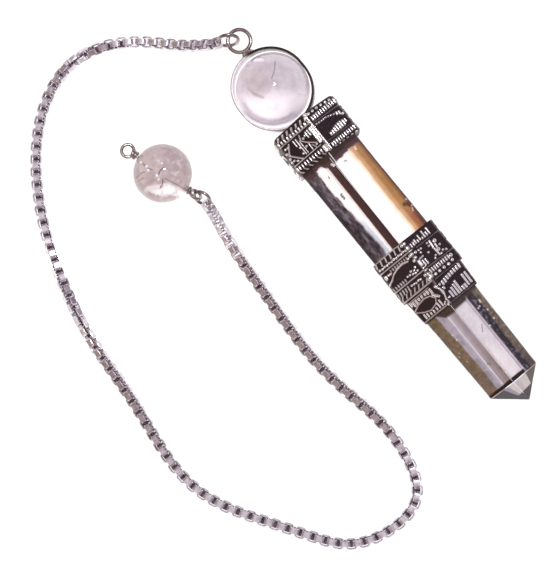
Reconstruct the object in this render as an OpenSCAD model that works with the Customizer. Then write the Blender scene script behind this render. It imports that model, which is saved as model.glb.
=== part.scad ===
// A dowsing pendulum, lying on a table with its chain spread out beside it.
// Crystal ball in a silver strap, hexagonal barrel, hexagonal point, two cast bands, box chain and bead.
// The pendant is drawn upright round its own axis, from the top of its cap, and is then laid down.

/* [Ball and strap] */
// Diameter of the crystal ball
ball_d = 12.1; // [10:0.1:15]
// Distance of the ball from the pendant's axis, to the left
ball_left = 0.45; // [0:0.05:1]
// Gap between the ball and the metal round it
ball_gap = 0.04; // [0.02:0.01:0.2]
// Thickness of the strap round the ball
strap_t = 0.4; // [0.3:0.05:0.8]
// Width of the strap
strap_w = 3; // [1.5:0.1:5]
// Straight stretch between the strap's upper and lower curve
strap_straight = 1; // [0:0.1:2]
// How deep the strap is let into the plate of the cap band
strap_sink = 0.05; // [0.02:0.01:0.2]

/* [Eye ring] */
// Outer diameter of the eye ring on the strap
eye_d = 4.4; // [3.5:0.1:6]
// Wire of the eye ring
eye_wire_d = 0.65; // [0.4:0.05:1]
// Distance of the eye ring from the pendant's axis, to the right
eye_right = 0.3; // [0:0.05:0.6]
// Height of the solder between the strap and the eye ring
solder_h = 0.8; // [0.2:0.05:1]
// Width of the solder where it sits on the strap
solder_d = 2.6; // [1.5:0.1:3]

/* [Cap band] */
// Thickness of the cap band outside the crystal barrel, with its ornament
cap_wall = 0.85; // [0.8:0.05:2]
// Length of the cap band
cap_len = 7.4; // [6:0.1:12]
// Thickness of the plate that closes the cap band
plate_t = 0.6; // [0.4:0.1:1.2]
// Height of the ornament on the cap band
cap_relief = 0.3; // [0.1:0.05:0.4]
// Radius of the cap band's upright corners
cap_corner_r = 1.3; // [0.8:0.1:2]
// Chamfer round the top of the cap band
cap_chamfer = 0.5; // [0.2:0.1:0.8]

/* [Crystal barrel] */
// Width of the crystal barrel across its flats
barrel_af = 10.9; // [9:0.1:14]
// Length of the barrel between the two bands
barrel_show = 18.4; // [10:0.1:40]

/* [Middle band] */
// Thickness of the middle band's upper part outside the barrel, with its ornament
mid_wall = 0.7; // [0.5:0.05:2]
// Length of the middle band's upper part
mid_len = 8; // [6:0.1:12]
// Height of the ornament on the middle band
mid_relief = 0.2; // [0.1:0.05:0.25]
// Radius of the upright corners of the middle band's upper part
mid_corner_r = 1.1; // [0.6:0.1:1.8]
// Thickness of the middle band's lower part outside the point, with its ornament
neck_wall = 0.68; // [0.6:0.02:1.2]
// How much narrower the lower part is at its bottom
neck_taper = 0.5; // [0:0.1:0.6]
// Length of the middle band's lower part
neck_len = 4.6; // [3:0.1:8]
// Radius of the lower part's upright corners
neck_corner_r = 0.5; // [0.3:0.1:0.6]
// Height of the ornament on the lower part
neck_relief = 0.12; // [0.08:0.02:0.14]
// Thickness of the ledge inside the band, between the barrel and the lower part
ledge_t = 0.45; // [0.3:0.05:1]

/* [Crystal point] */
// Width of the crystal point across its flats, where it leaves the band
point_af = 9.9; // [7:0.1:12]
// Width of the crystal point across its flats, at its shoulder
shoulder_af = 9.3; // [6:0.1:12]
// Length of the point from the band to its shoulder
point_show = 15.7; // [8:0.1:30]
// Length of the six-sided tip
tip_len = 4.1; // [2:0.1:10]

/* [Fit] */
// Gap between a crystal and the band round it
fit_gap = 0.05; // [0.02:0.01:0.08]
// Gap between the two crystals inside the middle band
end_gap = 0.15; // [0.05:0.05:0.5]
// Turn of the cap band about the pendant's axis
cap_turn = 5.5; // [-6:0.5:6]
// Turn of the crystal barrel
barrel_turn = -3; // [-3:0.5:3]
// Turn of the crystal point
point_turn = -2.4; // [-2.4:0.2:2.4]
// Roll of the whole pendant on the table, about its own axis
pendant_roll = -6.85; // [-8:0.05:8]

/* [Ornament] */
// Spacing of the small ridges
ridge_pitch = 0.54; // [0.4:0.02:0.9]
// Spacing of the larger points and scallops
point_pitch = 1.0; // [0.7:0.05:1.6]
// Width of a raised line in the motifs
line_w = 0.2; // [0.12:0.02:0.4]

/* [Chain] */
// Length of one link
link_len = 1.82; // [1.76:0.02:1.9]
// Width of one link
link_w = 1.88; // [1.8:0.02:2]
// Thickness of the strip that a link is bent from
link_t = 0.24; // [0.18:0.01:0.25]
// Width of that strip
link_strip = 0.8; // [0.6:0.02:0.82]
// Distance from one link to the next
link_pitch = 1.065; // [1.05:0.005:1.2]
// Rounding of a link's corners
link_r = 0.55; // [0.3:0.05:0.6]

/* [Jump rings] */
// Outer diameter of the jump ring at the eye
eye_jump_d = 3.95; // [3.6:0.05:5]
// Outer diameter of the jump ring at the bead
bead_jump_d = 3.3; // [3:0.05:4]
// Wire of the jump ring at the eye
eye_jump_wire = 0.6; // [0.4:0.02:0.6]
// Wire of the jump ring at the bead
bead_jump_wire = 0.56; // [0.4:0.02:0.6]

/* [Bead] */
// Diameter of the small crystal bead
bead_d = 9.65; // [7:0.1:14]
// Diameter of the hole through the bead
bead_hole_d = 0.9; // [0.7:0.05:1.5]
// Wire through the bead
bead_wire_d = 0.55; // [0.4:0.05:0.65]
// Outer diameter of the free loop
free_loop_d = 2.6; // [2:0.05:4]
// Outer diameter of the loop at the chain
chain_loop_d = 2.5; // [2:0.05:4]
// Turns of wire between the bead and the free loop
wraps = 2; // [1:1:4]
// Slope of the bead's wire, down towards the chain
bead_slope = 10; // [0:1:20]

/* [Hidden] */
silver = [0.78, 0.77, 0.76];
dark_silver = [0.42, 0.39, 0.38];
quartz = [0.92, 0.90, 0.91, 0.6];
round_fn = 48;
eps = 0.01;

// Places along the pendant's axis: the cap's top is 0 and the tip points down
strap_in = ball_d / 2 + ball_gap;
strap_out = strap_in + strap_t;
ball_z = strap_out + strap_straight / 2 - strap_sink;
strap_top = ball_z + strap_straight / 2 + strap_out;
eye_z = strap_top + solder_h + eye_d / 2 - eye_wire_d / 2;
mid_z = -cap_len - barrel_show;
neck_z = mid_z - mid_len;
neck_end_z = neck_z - neck_len;
shoulder_z = neck_end_z - point_show;
apex_z = shoulder_z - tip_len;
point_top_z = neck_z + ledge_t;
barrel_end_z = point_top_z + end_gap;
cap_af = barrel_af + 2 * cap_wall;
mid_af = barrel_af + 2 * mid_wall;
neck_af = point_af + 2 * neck_wall;
// Width of the point at a height: inside the band it widens on upwards at the same slope
function point_width(z) = point_af + (point_af - shoulder_af) * (z - neck_end_z) / point_show;
point_top_af = point_width(point_top_z);

// A band's row of ornament: where it starts and ends, as shares of the band's length, and its kind
ROW_TOP = 0;
ROW_END = 1;
ROW_KIND = 2;
CAP_ROWS = [
    [0.00, 0.06, "rim"], [0.06, 0.15, "points"], [0.15, 0.24, "ridges"], [0.24, 0.27, "rim"],
    [0.27, 0.70, "motif"], [0.70, 0.73, "rim"], [0.73, 0.88, "ridges"], [0.88, 0.96, "points"],
    [0.96, 1.00, "rim"]];
MID_ROWS = [
    [0.00, 0.03, "rim"], [0.03, 0.12, "points"], [0.12, 0.22, "ridges"], [0.22, 0.26, "rim"],
    [0.26, 0.70, "motif"], [0.70, 0.73, "rim"], [0.73, 0.84, "ridges"], [0.84, 0.94, "points"],
    [0.94, 1.00, "rim"]];
NECK_ROWS = [
    [0.00, 0.05, "rim"], [0.05, 0.27, "ridges"], [0.27, 0.68, "motif"], [0.68, 0.92, "ridges"],
    [0.92, 1.00, "rim"]];
// One tooth of a row: share of its pitch, share of the relief
RIDGE_TOOTH = [[0.2, 0], [0.2, 1], [0.8, 1], [0.8, 0]];
POINT_TOOTH = [[0, 0], [0.3, 1], [0.7, 1]];
RIM_TOOTH = [[0, 1]];
FLAT_TOOTH = [[0, 0]];
corner_steps = 4;
// How far a motif is sunk into its side, as a share of the relief
motif_root = 0.2;

// Points that draw the chain over the table, chosen by hand: x, y, z and the links' roll in degrees
ROUTE = [
    [-7.2, 22.7, 2.9, 0], [-10.1, 26.4, 1.2, 0], [-14.4, 30.2, 1.03, 4], [-20.1, 32.6, 1.03, 44],
    [-26.1, 32.1, 1.03, 78], [-31.6, 29.4, 1.03, 90], [-36.1, 25.4, 1.03, 90], [-39.8, 20.6, 1.03, 90],
    [-42.8, 15.4, 1.03, 90], [-45.2, 9.9, 1.03, 94], [-47, 4.2, 1.03, 114], [-48.5, -1.6, 1.03, 136],
    [-49.3, -7.6, 1.03, 152], [-49.6, -13.6, 1.03, 158], [-50.1, -19.6, 1.03, 160], [-51, -25.5, 1.03, 170],
    [-51.6, -31.5, 1.03, 180], [-50.7, -37.4, 1.03, 180], [-48, -42.8, 1.03, 180], [-44.7, -47.8, 1.03, 180],
    [-41.4, -52.9, 1.03, 180], [-38.1, -58, 1.03, 180], [-33.1, -60.5, 1.03, 180], [-26.7, -61.1, 1.03, 180],
    [-22.2, -58.7, 1.03, 182], [-20.6, -52.5, 1.03, 182], [-20.3, -46.3, 1.03, 200], [-21.4, -40.6, 1.03, 202],
    [-22.5, -34.7, 1.03, 204], [-22.7, -28.7, 1.03, 204], [-22.4, -22.6, 1.03, 204], [-22, -16.5, 1.03, 204],
    [-21.7, -11.5, 1.03, 208], [-21.3, -7.2, 1.15, 216]];
route_steps = 12;
// Where the bead lies, and the way its wire points over the table, towards the chain
BEAD_AT = [-22.9, 7.8];
bead_heading = -71;
// The way the jump ring leaves the eye, how steeply, and its lean out of the upright
eye_jump_heading = 152;
eye_jump_slope = 18;
eye_jump_lean = -20;
// Where round the eye the jump ring hangs, and how far its middle is below the eye's wire
eye_jump_spot = 133;
eye_jump_drop = 0.7;
// Roll of the chain-side loop about the bead's wire
chain_loop_roll = -50;
// The way the bead's jump ring points, its tilt out of the level, and where round it the chain hangs
bead_jump_heading = -66;
bead_jump_tilt = 58;
bead_jump_spot = 40;
// How far that ring's wire is past the middle of the bead's loop, as a share of the loop
bead_jump_share = 0.15;

function unit(v) = v / norm(v);
function turned(p, a) = [p.x * cos(a) - p.y * sin(a), p.x * sin(a) + p.y * cos(a)];

// Outline of a hexagon with rounded corners and a row of teeth: flat sides face x, corners face y
function band_outline(af, r, relief, tooth, n_side, n_corner) =
    let (a = af / 2 - relief, half = (a - r) * tan(30), core = (a - r) / cos(30))
    [for (i = [0:5]) each concat(
        [for (j = [0:n_side - 1], q = tooth)
            turned([a + relief * q[1], half * (2 * (j + q[0]) / n_side - 1)], 60 * i)],
        [for (j = [0:n_corner - 1], q = tooth)
            let (ang = 60 * i + 60 * (j + q[0]) / n_corner)
            core * [cos(60 * i + 30), sin(60 * i + 30)]
            + (r + relief * q[1]) * [cos(ang), sin(ang)]])];

function hexagon(af, turn = 0) =
    [for (i = [0:5]) af / 2 / cos(30) * [cos(60 * i + 30 + turn), sin(60 * i + 30 + turn)]];

// Outline of one kind of row, with as many teeth as fit
function row_outline(af, r, relief, kind) =
    let (side = 2 * (af / 2 - relief - r) * tan(30), arc = r * PI / 3,
         pitch = kind == "ridges" ? ridge_pitch : point_pitch)
    kind == "ridges" ? band_outline(af, r, relief, RIDGE_TOOTH, round(side / pitch), round(arc / pitch))
    : kind == "points" ? band_outline(af, r, relief, POINT_TOOTH, round(side / pitch), 1)
    : band_outline(af, r, relief, kind == "rim" ? RIM_TOOTH : FLAT_TOOTH, 1, corner_steps);

// How far a band reaches from the axis towards the table
function corner_reach(af, r, relief, turn) =
    max([for (p = row_outline(af, r, relief, "rim")) turned(p, turn).y]);

cap_reach = corner_reach(cap_af, cap_corner_r, cap_relief, cap_turn + pendant_roll);
mid_reach = corner_reach(mid_af, mid_corner_r, mid_relief, pendant_roll);
// The pendant lies on the lower ends of its two bands
lay_pitch = atan((cap_reach - mid_reach) / (-cap_len - neck_z));
lay_z = cap_reach * cos(lay_pitch) + cap_len * sin(lay_pitch);

// A point of the upright pendant, where it lies on the table
function lay(p) =
    let (q = turned(p, pendant_roll))
    [q.x, p.z * cos(lay_pitch) + q.y * sin(lay_pitch), p.z * sin(lay_pitch) - q.y * cos(lay_pitch) + lay_z];

// The jump ring at the eye: its middle, its long way and its second way
eye_at = lay([eye_right, 0, eye_z]);
eye_r = (eye_d - eye_wire_d) / 2;
eye_jump_r = (eye_jump_d - eye_jump_wire) / 2;
eye_jump_x = [
    cos(eye_jump_heading) * cos(eye_jump_slope),
    sin(eye_jump_heading) * cos(eye_jump_slope),
    -sin(eye_jump_slope)];
eye_jump_side = unit(cross([0, 0, 1], eye_jump_x));
eye_jump_up = cross(eye_jump_x, eye_jump_side);
eye_jump_y = cos(eye_jump_lean) * eye_jump_up + sin(eye_jump_lean) * eye_jump_side;
eye_jump_at = eye_at + [eye_r * cos(eye_jump_spot), eye_r * sin(eye_jump_spot), -eye_jump_drop];
// A link hangs on a ring's wire, halfway between its own end and the next link
hook = (link_len - link_t - link_pitch) / 2;
chain_start = eye_jump_at + (eye_jump_r + hook) * eye_jump_x;

// The bead's wire and what hangs on it
bead_at = [BEAD_AT.x, BEAD_AT.y, bead_d / 2];
wire_z = [
    cos(bead_heading) * cos(bead_slope),
    sin(bead_heading) * cos(bead_slope),
    -sin(bead_slope)];
wire_x = unit(cross([0, 0, 1], wire_z));
wire_y = cross(wire_z, wire_x);
wire_overlap = 0.05;
wrap_r = bead_wire_d - wire_overlap;
wrap_step = bead_wire_d - wire_overlap;
free_loop_r = (free_loop_d - bead_wire_d) / 2;
chain_loop_r = (chain_loop_d - bead_wire_d) / 2;
free_loop_z = -bead_d / 2 - ball_gap - wraps * wrap_step - free_loop_r + bead_wire_d / 4;
chain_loop_z = bead_d / 2 + ball_gap + bead_wire_d + chain_loop_r;
bead_jump_r = (bead_jump_d - bead_jump_wire) / 2;
bead_jump_x = [cos(bead_jump_heading), sin(bead_jump_heading), 0];
bead_jump_y = [
    cos(bead_jump_heading - 90) * cos(bead_jump_tilt),
    sin(bead_jump_heading - 90) * cos(bead_jump_tilt),
    -sin(bead_jump_tilt)];
bead_jump_at = bead_at + chain_loop_z * wire_z
    + (bead_jump_r - bead_jump_share * chain_loop_r) * bead_jump_x;
// The way from the ring's middle to the last link, and the way of its wire there
chain_end_way = cos(bead_jump_spot) * bead_jump_x + sin(bead_jump_spot) * bead_jump_y;
chain_end_wire = cos(bead_jump_spot) * bead_jump_y - sin(bead_jump_spot) * bead_jump_x;
chain_end = bead_jump_at + (bead_jump_r + hook) * chain_end_way;

// Roll of a link that goes round a wire, about the chain's own way
function link_roll(way, wire) =
    let (side = unit(cross([0, 0, 1], way)), up = cross(way, side))
    atan2(wire * side, wire * up);
start_roll = link_roll(eye_jump_x, eye_jump_y);
end_roll = 90 + link_roll(-chain_end_way, chain_end_wire);

// The whole centre line, as a smooth curve drawn by the chosen points
function with_roll(p, roll) = [p.x, p.y, p.z, roll];
lead_in = 1.3;
line_points = concat(
    [for (i = [-1:1]) with_roll(chain_start + i * lead_in * eye_jump_x, start_roll)],
    ROUTE,
    [for (i = [1:-1:-1]) with_roll(chain_end + i * lead_in * chain_end_way, end_roll)]);
function curve(p, q, r, s, t) = (
    pow(1 - t, 3) * p + (3 * t * t * t - 6 * t * t + 4) * q
    + (-3 * t * t * t + 3 * t * t + 3 * t + 1) * r + t * t * t * s) / 6;
samples = concat(
    [for (i = [1:len(line_points) - 3], j = [0:route_steps - 1])
        curve(line_points[i - 1], line_points[i], line_points[i + 1], line_points[i + 2], j / route_steps)],
    [with_roll(chain_end, end_roll)]);
function place(p) = [p[0], p[1], p[2]];
distances = [for (i = 0, d = 0; i < len(samples);
    d = d + (i + 1 < len(samples) ? norm(place(samples[i + 1]) - place(samples[i])) : 0), i = i + 1) d];
chain_len = distances[len(distances) - 1];
// An odd number of steps, so that the first and the last link lie crosswise
link_steps = 2 * floor(chain_len / link_pitch / 2) + 1;
step_len = chain_len / link_steps;
tables = [for (c = [0:3]) [for (i = [0:len(samples) - 1]) [distances[i], samples[i][c]]]];
function along(d) = [for (c = [0:2]) lookup(d, tables[c])];
function roll_at(d) = lookup(d, tables[3]);

// Where the whole object's middle is, so that the origin lies under it
route_x = [for (p = samples) p[0]];
route_y = [for (p = samples) p[1]];
x_low = min(route_x) - link_w / 2;
x_high = max(max(cap_af, mid_af, barrel_af) / 2, ball_d / 2 + strap_t - ball_left);
y_low = min(min(route_y) - link_w / 2, lay([0, 0, apex_z]).y);
y_high = max(max(route_y) + link_w / 2, eye_at.y + eye_d / 2);
middle = [(x_low + x_high) / 2, (y_low + y_high) / 2, 0];

// Sets something drawn on the table, so that the origin is under the object's middle
module on_table() translate(-middle) children();

// Lays something drawn upright on the table
module laid() on_table() translate([0, 0, lay_z]) rotate([lay_pitch - 90, 0, 0])
    rotate([0, 0, pendant_roll]) children();

// Stands children in a frame of three directions and a place
module set_in(x, y, z, at) multmatrix([
    [x.x, y.x, z.x, at.x],
    [x.y, y.y, z.y, at.y],
    [x.z, y.z, z.z, at.z],
    [0, 0, 0, 1]]) children();

module wire_ring(r, wire) rotate_extrude($fn = round_fn) translate([r, 0]) circle(d = wire, $fn = round_fn / 2);

// A ring between two outlines, from z down by height
module slice(outer, inner, z, height) translate([0, 0, z - height]) linear_extrude(height) polygon(
    concat(outer, inner),
    [[for (i = [0:len(outer) - 1]) i], [for (i = [0:len(inner) - 1]) len(outer) + i]]);

// Closed lens between two arcs, for the leaf frames
function lens(length, width, n = 6) = concat(
    [for (i = [0:n - 1]) [length * (i / n - 0.5), width / 2 * sin(180 * i / n)]],
    [for (i = [0:n - 1]) [length * (0.5 - i / n), -width / 2 * sin(180 * i / n)]]);
function rhomb(length, width) = [[-length / 2, 0], [0, width / 2], [length / 2, 0], [0, -width / 2]];
function shrunk(points, length, by) = [for (p = points) p * (1 - 2 * by / length)];

// Draws on flat side i of a band: x runs along the side, y up the band, and it stands out by relief
module on_side(i, af, z, relief) translate([0, 0, z]) rotate([0, 0, 60 * i])
    translate([af / 2 - (1 + motif_root) * relief, 0, 0])
        rotate([90, 0, 90]) linear_extrude((1 + motif_root) * relief) children();

module frame(points, length) difference() {
    polygon(points);
    polygon(shrunk(points, length, line_w));
}

// A pointed frame at one end of a side and a leaf at the other
module rhomb_motif(side, height) {
    translate([-side * 0.24, 0]) frame(rhomb(side * 0.42, height * 0.86), side * 0.34);
    translate([side * 0.24, height * 0.02]) rotate(-32) frame(lens(side * 0.46, height * 0.3), side * 0.3);
    for (j = [0:3]) translate([side * (0.08 + 0.1 * j), height * 0.36]) square([line_w, height * 0.2], center = true);
}

// A long leaf over a comb of bars
module leaf_motif(side, height) {
    translate([0, height * 0.14]) rotate(-8) frame(lens(side * 0.9, height * 0.4), side * 0.5);
    for (j = [0:6]) let (bar = height * (0.12 + 0.03 * j))
        translate([side * (-0.2 + 0.09 * j), -height * 0.42 + bar / 2]) square([line_w, bar], center = true);
}

// A slanting leaf with short ridges above and below
module slant_motif(side, height) {
    rotate(16) frame(lens(side * 0.86, height * 0.5), side * 0.5);
    for (j = [0:4]) {
        translate([side * (-0.38 + 0.09 * j), height * 0.38]) square([line_w, height * 0.14], center = true);
        translate([side * (0.02 + 0.09 * j), -height * 0.38]) square([line_w, height * 0.14], center = true);
    }
}

// A flower of dots and a small leaf
module flower_motif(side, height) {
    dot_d = height * 0.2;
    translate([-side * 0.26, 0]) {
        circle(d = dot_d, $fn = 8);
        for (j = [0:4]) rotate(72 * j) translate([height * 0.27, 0]) circle(d = dot_d, $fn = 8);
    }
    translate([side * 0.2, 0]) rotate(70) frame(lens(height * 0.8, side * 0.24), height * 0.3);
}

module motif(kind, side, height) {
    if (kind == "rhomb") rhomb_motif(side, height);
    if (kind == "leaf") leaf_motif(side, height);
    if (kind == "slant") slant_motif(side, height);
    if (kind == "flower") flower_motif(side, height);
}

// A whole band: rows of ornament round a hexagonal hole, with motifs a and b on alternate sides
module band(rows, len, af, taper, r, relief, hole_af, hole_taper, hole_turn, a, b) {
    for (row = rows) {
        top = row[ROW_TOP] * len;
        height = row[ROW_END] * len - top;
        row_af = af - taper * row[ROW_TOP];
        hole = hexagon(hole_af - hole_taper * row[ROW_TOP] + 2 * fit_gap, hole_turn);
        slice(row_outline(row_af, r, relief, row[ROW_KIND]), hole, -top, height);
        if (row[ROW_KIND] == "motif") for (i = [0:5])
            on_side(i, row_af, -top - height / 2, relief)
                motif(i % 2 == 0 ? a : b, 2 * (row_af / 2 - relief - r) * tan(30), height);
    }
}

// Everything above a sloping edge round the top of a hexagon is cut away
module chamfered(af, len, cut) intersection() {
    children();
    for (i = [0:2]) intersection_for (k = [0:2]) rotate([0, 0, 60 * k]) rotate([90, 0, 0])
        linear_extrude(2 * af, center = true) polygon([
            [-af / 2 - eps, -len], [-af / 2 - eps, -cut], [-af / 2 + cut, 0],
            [af / 2 - cut, 0], [af / 2 + eps, -cut], [af / 2 + eps, -len]]);
}

// One curve of the strap: a flat strip bent round the ball
module strap_curve(from, turn) rotate([90, 0, 0]) rotate([0, 0, from])
    rotate_extrude(angle = turn, $fn = 2 * round_fn)
        translate([strap_in, -strap_w / 2]) square([strap_t, strap_w]);

module strap() translate([-ball_left, 0, 0]) intersection() {
    union() {
        translate([0, 0, ball_z + strap_straight / 2]) strap_curve(0, 180);
        translate([0, 0, ball_z - strap_straight / 2]) {
            strap_curve(270, 90);
            strap_curve(180, 90);
        }
        if (strap_straight > 0) for (side = [-1, 1])
            translate([side * (strap_in + strap_t / 2), 0, ball_z])
                cube([strap_t, strap_w, strap_straight], center = true);
    }
    translate([0, 0, ball_d]) cube([3 * ball_d, 2 * strap_w, 2 * ball_d + plate_t], center = true);
}

module eye() {
    translate([eye_right, 0, eye_z]) rotate([90, 0, 0]) wire_ring(eye_r, eye_wire_d);
    translate([(eye_right - ball_left) / 2, 0, strap_top - strap_t / 2])
        cylinder(h = solder_h + strap_t / 2, d1 = solder_d, d2 = 2 * eye_wire_d, $fn = round_fn);
}

module cap_plate() chamfered(cap_af, cap_len, cap_chamfer) translate([0, 0, -plate_t])
    linear_extrude(plate_t) polygon(row_outline(cap_af, cap_corner_r, cap_relief, "rim"));

module crystal_ball() color(quartz) laid() translate([-ball_left, 0, ball_z]) sphere(d = ball_d, $fn = round_fn);

module head_setting() color(dark_silver) laid() {
    eye();
    strap();
    rotate([0, 0, cap_turn]) {
        cap_plate();
        translate([0, 0, -plate_t])
            band(CAP_ROWS, cap_len - plate_t, cap_af, 0, cap_corner_r, cap_relief,
                barrel_af, 0, barrel_turn - cap_turn, "rhomb", "leaf");
    }
}

module crystal_barrel() color(quartz) laid() translate([0, 0, barrel_end_z])
    linear_extrude(-plate_t - fit_gap - barrel_end_z) polygon(hexagon(barrel_af, barrel_turn));

module middle_band() color(dark_silver) laid() {
    translate([0, 0, mid_z])
        band(MID_ROWS, mid_len, mid_af, 0, mid_corner_r, mid_relief,
            barrel_af, 0, barrel_turn, "slant", "flower");
    translate([0, 0, neck_z])
        band(NECK_ROWS, neck_len, neck_af, neck_taper, neck_corner_r, neck_relief,
            point_width(neck_z), point_width(neck_z) - point_af, point_turn, "slant", "leaf");
    slice(hexagon(barrel_af + 2 * fit_gap + mid_wall / 2, barrel_turn),
        hexagon(point_top_af + 2 * fit_gap, point_turn), point_top_z, ledge_t);
}

// Six flat sides and a six-sided tip, from three outlines that cross
module crystal_point() color(quartz) laid() intersection_for (k = [0:2]) rotate([0, 0, 60 * k + point_turn])
    rotate([90, 0, 0]) linear_extrude(2 * point_top_af, center = true) polygon([
        [-point_top_af / 2, point_top_z], [-shoulder_af / 2, shoulder_z], [0, apex_z],
        [shoulder_af / 2, shoulder_z], [point_top_af / 2, point_top_z]]);

module eye_jump_ring() color(silver) on_table()
    set_in(eye_jump_x, eye_jump_y, cross(eye_jump_x, eye_jump_y), eye_jump_at)
        wire_ring(eye_jump_r, eye_jump_wire);

module bead_jump_ring() color(silver) on_table()
    set_in(bead_jump_x, bead_jump_y, cross(bead_jump_x, bead_jump_y), bead_jump_at)
        wire_ring(bead_jump_r, bead_jump_wire);

// A rectangle's corners rounded in n steps
function rounded(l, w, r, n) = [for (c = [[1, 1, 0], [-1, 1, 90], [-1, -1, 180], [1, -1, 270]], i = [0:n])
    [c[0] * (l / 2 - r) + r * cos(c[2] + 90 * i / n), c[1] * (w / 2 - r) + r * sin(c[2] + 90 * i / n)]];
link_outer = rounded(link_len, link_w, link_r, 2);
link_inner = rounded(link_len - 2 * link_t, link_w - 2 * link_t, link_r - link_t, 2);

module link(d, roll) {
    way = unit(along(min(d + step_len / 2, chain_len)) - along(max(d - step_len / 2, 0)));
    side = unit(cross([0, 0, 1], way));
    up = cross(way, side);
    hole = cos(roll) * up + sin(roll) * side;
    set_in(way, cross(hole, way), hole, along(d)) slice(link_outer, link_inner, link_strip / 2, link_strip);
}

module chain() color(silver) on_table() for (k = [0:link_steps])
    link(k * step_len, roll_at(k * step_len) + (k % 2 == 0 ? 0 : 90));

module bead() color(quartz) on_table() set_in(wire_x, wire_y, wire_z, bead_at) difference() {
    sphere(d = bead_d, $fn = round_fn);
    cylinder(h = 2 * bead_d, d = bead_hole_d, center = true, $fn = round_fn);
}

module bead_wire() color(silver) on_table() set_in(wire_x, wire_y, wire_z, bead_at) {
    translate([0, 0, free_loop_z + free_loop_r])
        cylinder(h = chain_loop_z - chain_loop_r - free_loop_z - free_loop_r, d = bead_wire_d, $fn = round_fn);
    translate([0, 0, free_loop_z]) rotate([90, 0, 0]) wire_ring(free_loop_r, bead_wire_d);
    translate([0, 0, chain_loop_z]) rotate([0, 0, chain_loop_roll]) rotate([90, 0, 0])
        wire_ring(chain_loop_r, bead_wire_d);
    for (k = [0:wraps - 1])
        translate([0, 0, -bead_d / 2 - ball_gap - bead_wire_d / 2 - k * wrap_step]) wire_ring(wrap_r, bead_wire_d);
    translate([0, 0, bead_d / 2 + ball_gap + bead_wire_d / 2]) wire_ring(wrap_r, bead_wire_d);
}

crystal_ball();
head_setting();
crystal_barrel();
middle_band();
crystal_point();
eye_jump_ring();
chain();
bead_jump_ring();
bead();
bead_wire();
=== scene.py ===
import bpy, math
import numpy as np
from mathutils import Vector, Matrix


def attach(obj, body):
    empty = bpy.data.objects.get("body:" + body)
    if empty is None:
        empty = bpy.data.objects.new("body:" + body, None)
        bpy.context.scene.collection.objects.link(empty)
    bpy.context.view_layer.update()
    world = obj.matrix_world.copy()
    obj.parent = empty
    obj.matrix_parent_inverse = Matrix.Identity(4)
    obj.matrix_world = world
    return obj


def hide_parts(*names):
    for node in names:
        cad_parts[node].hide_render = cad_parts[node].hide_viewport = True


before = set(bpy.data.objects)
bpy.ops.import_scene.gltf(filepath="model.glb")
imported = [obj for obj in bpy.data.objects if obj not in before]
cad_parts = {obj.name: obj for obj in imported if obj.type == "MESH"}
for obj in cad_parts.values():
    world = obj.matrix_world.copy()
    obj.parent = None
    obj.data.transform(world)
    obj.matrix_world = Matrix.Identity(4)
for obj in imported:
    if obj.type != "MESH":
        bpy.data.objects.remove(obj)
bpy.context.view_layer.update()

MM = 0.001
TAN30, COS30 = math.tan(math.radians(30)), math.cos(math.radians(30))
columns, join = np.column_stack, np.concatenate

# Places and sizes in mm, as in the part's source; the upright pendant has its cap's top at height 0
MIDDLE = np.array([-22.9987, -14.2318, 0.0])
PITCH, ROLL, LAY_Z = math.radians(0.377843), -6.85, 7.07379
BALL_R, BALL_Z, BALL_X = 6.05, 6.94, -0.45
CAP_LEN, MID_Z, MID_LEN, NECK_Z, NECK_LEN = 7.4, -25.8, 8.0, -33.8, 4.6
BARREL_TOP, BARREL_END, BARREL_AF = -0.65, -33.2, 10.9
POINT_TOP, SHOULDER, APEX = -33.35, -54.1, -58.2
POINT_TOP_AF, SHOULDER_AF = 10.093, 9.3
CAP_TURN, BARREL_TURN, POINT_TURN = 5.5, -3.0, -2.4

# The camera, in mm from the middle
UP = np.array([0.6281461, 0.7780954, 0.0])
RIGHT = np.array([0.7780954, -0.6281461, 0.0])
TARGET = np.array([-19.81095719, -18.49915632, 7.2]) - MIDDLE
DIST, BETA, PX = 306.0, math.radians(5.0), 6.2
CAM_POS = TARGET + DIST * (-math.sin(BETA) * UP + np.array([0, 0, math.cos(BETA)]))
BACK = (CAM_POS - TARGET) / DIST
CAM_UP = np.cross(BACK, RIGHT)
WIDTH, HEIGHT = 557, 570

# The pixel frame of the photograph: s runs along the pendant from this pixel and in this direction, t across it
FROM_X, FROM_Y = 247, 54
ALONG_X, ALONG_Y = 0.6324, 0.7747


def photo_st(p):
    """Where points (n, 3), in metres, show in the photograph: along and across the pendant, in pixels."""
    q = np.asarray(p) / MM - CAM_POS
    z = -(q @ BACK)
    x = WIDTH / 2 + PX * DIST * (q @ RIGHT) / z - FROM_X
    y = HEIGHT / 2 - PX * DIST * (q @ CAM_UP) / z - FROM_Y
    return x * ALONG_X + y * ALONG_Y, x * ALONG_Y - y * ALONG_X


def photo_xy(t, s):
    """Picture coordinates of places given across and along the pendant."""
    return FROM_X + ALONG_X * s + ALONG_Y * t, FROM_Y + ALONG_Y * s - ALONG_X * t


def turned(p, deg):
    """Turned about z."""
    a = math.radians(deg)
    x, y = p[:, 0], p[:, 1]
    return columns([x * math.cos(a) - y * math.sin(a), x * math.sin(a) + y * math.cos(a), p[:, 2:]])


def laid(p):
    """Upright pendant coordinates (n, 3) in mm to the scene's metres."""
    p = turned(np.atleast_2d(np.asarray(p, float)), ROLL)
    c, s = math.cos(PITCH), math.sin(PITCH)
    out = columns([p[:, 0], p[:, 2] * c + p[:, 1] * s, p[:, 2] * s - p[:, 1] * c + LAY_Z])
    return (out - MIDDLE) * MM


# Mesh helpers
def add_object(name, data):
    ob = bpy.data.objects.new(name, data)
    bpy.context.scene.collection.objects.link(ob)
    return ob


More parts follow.
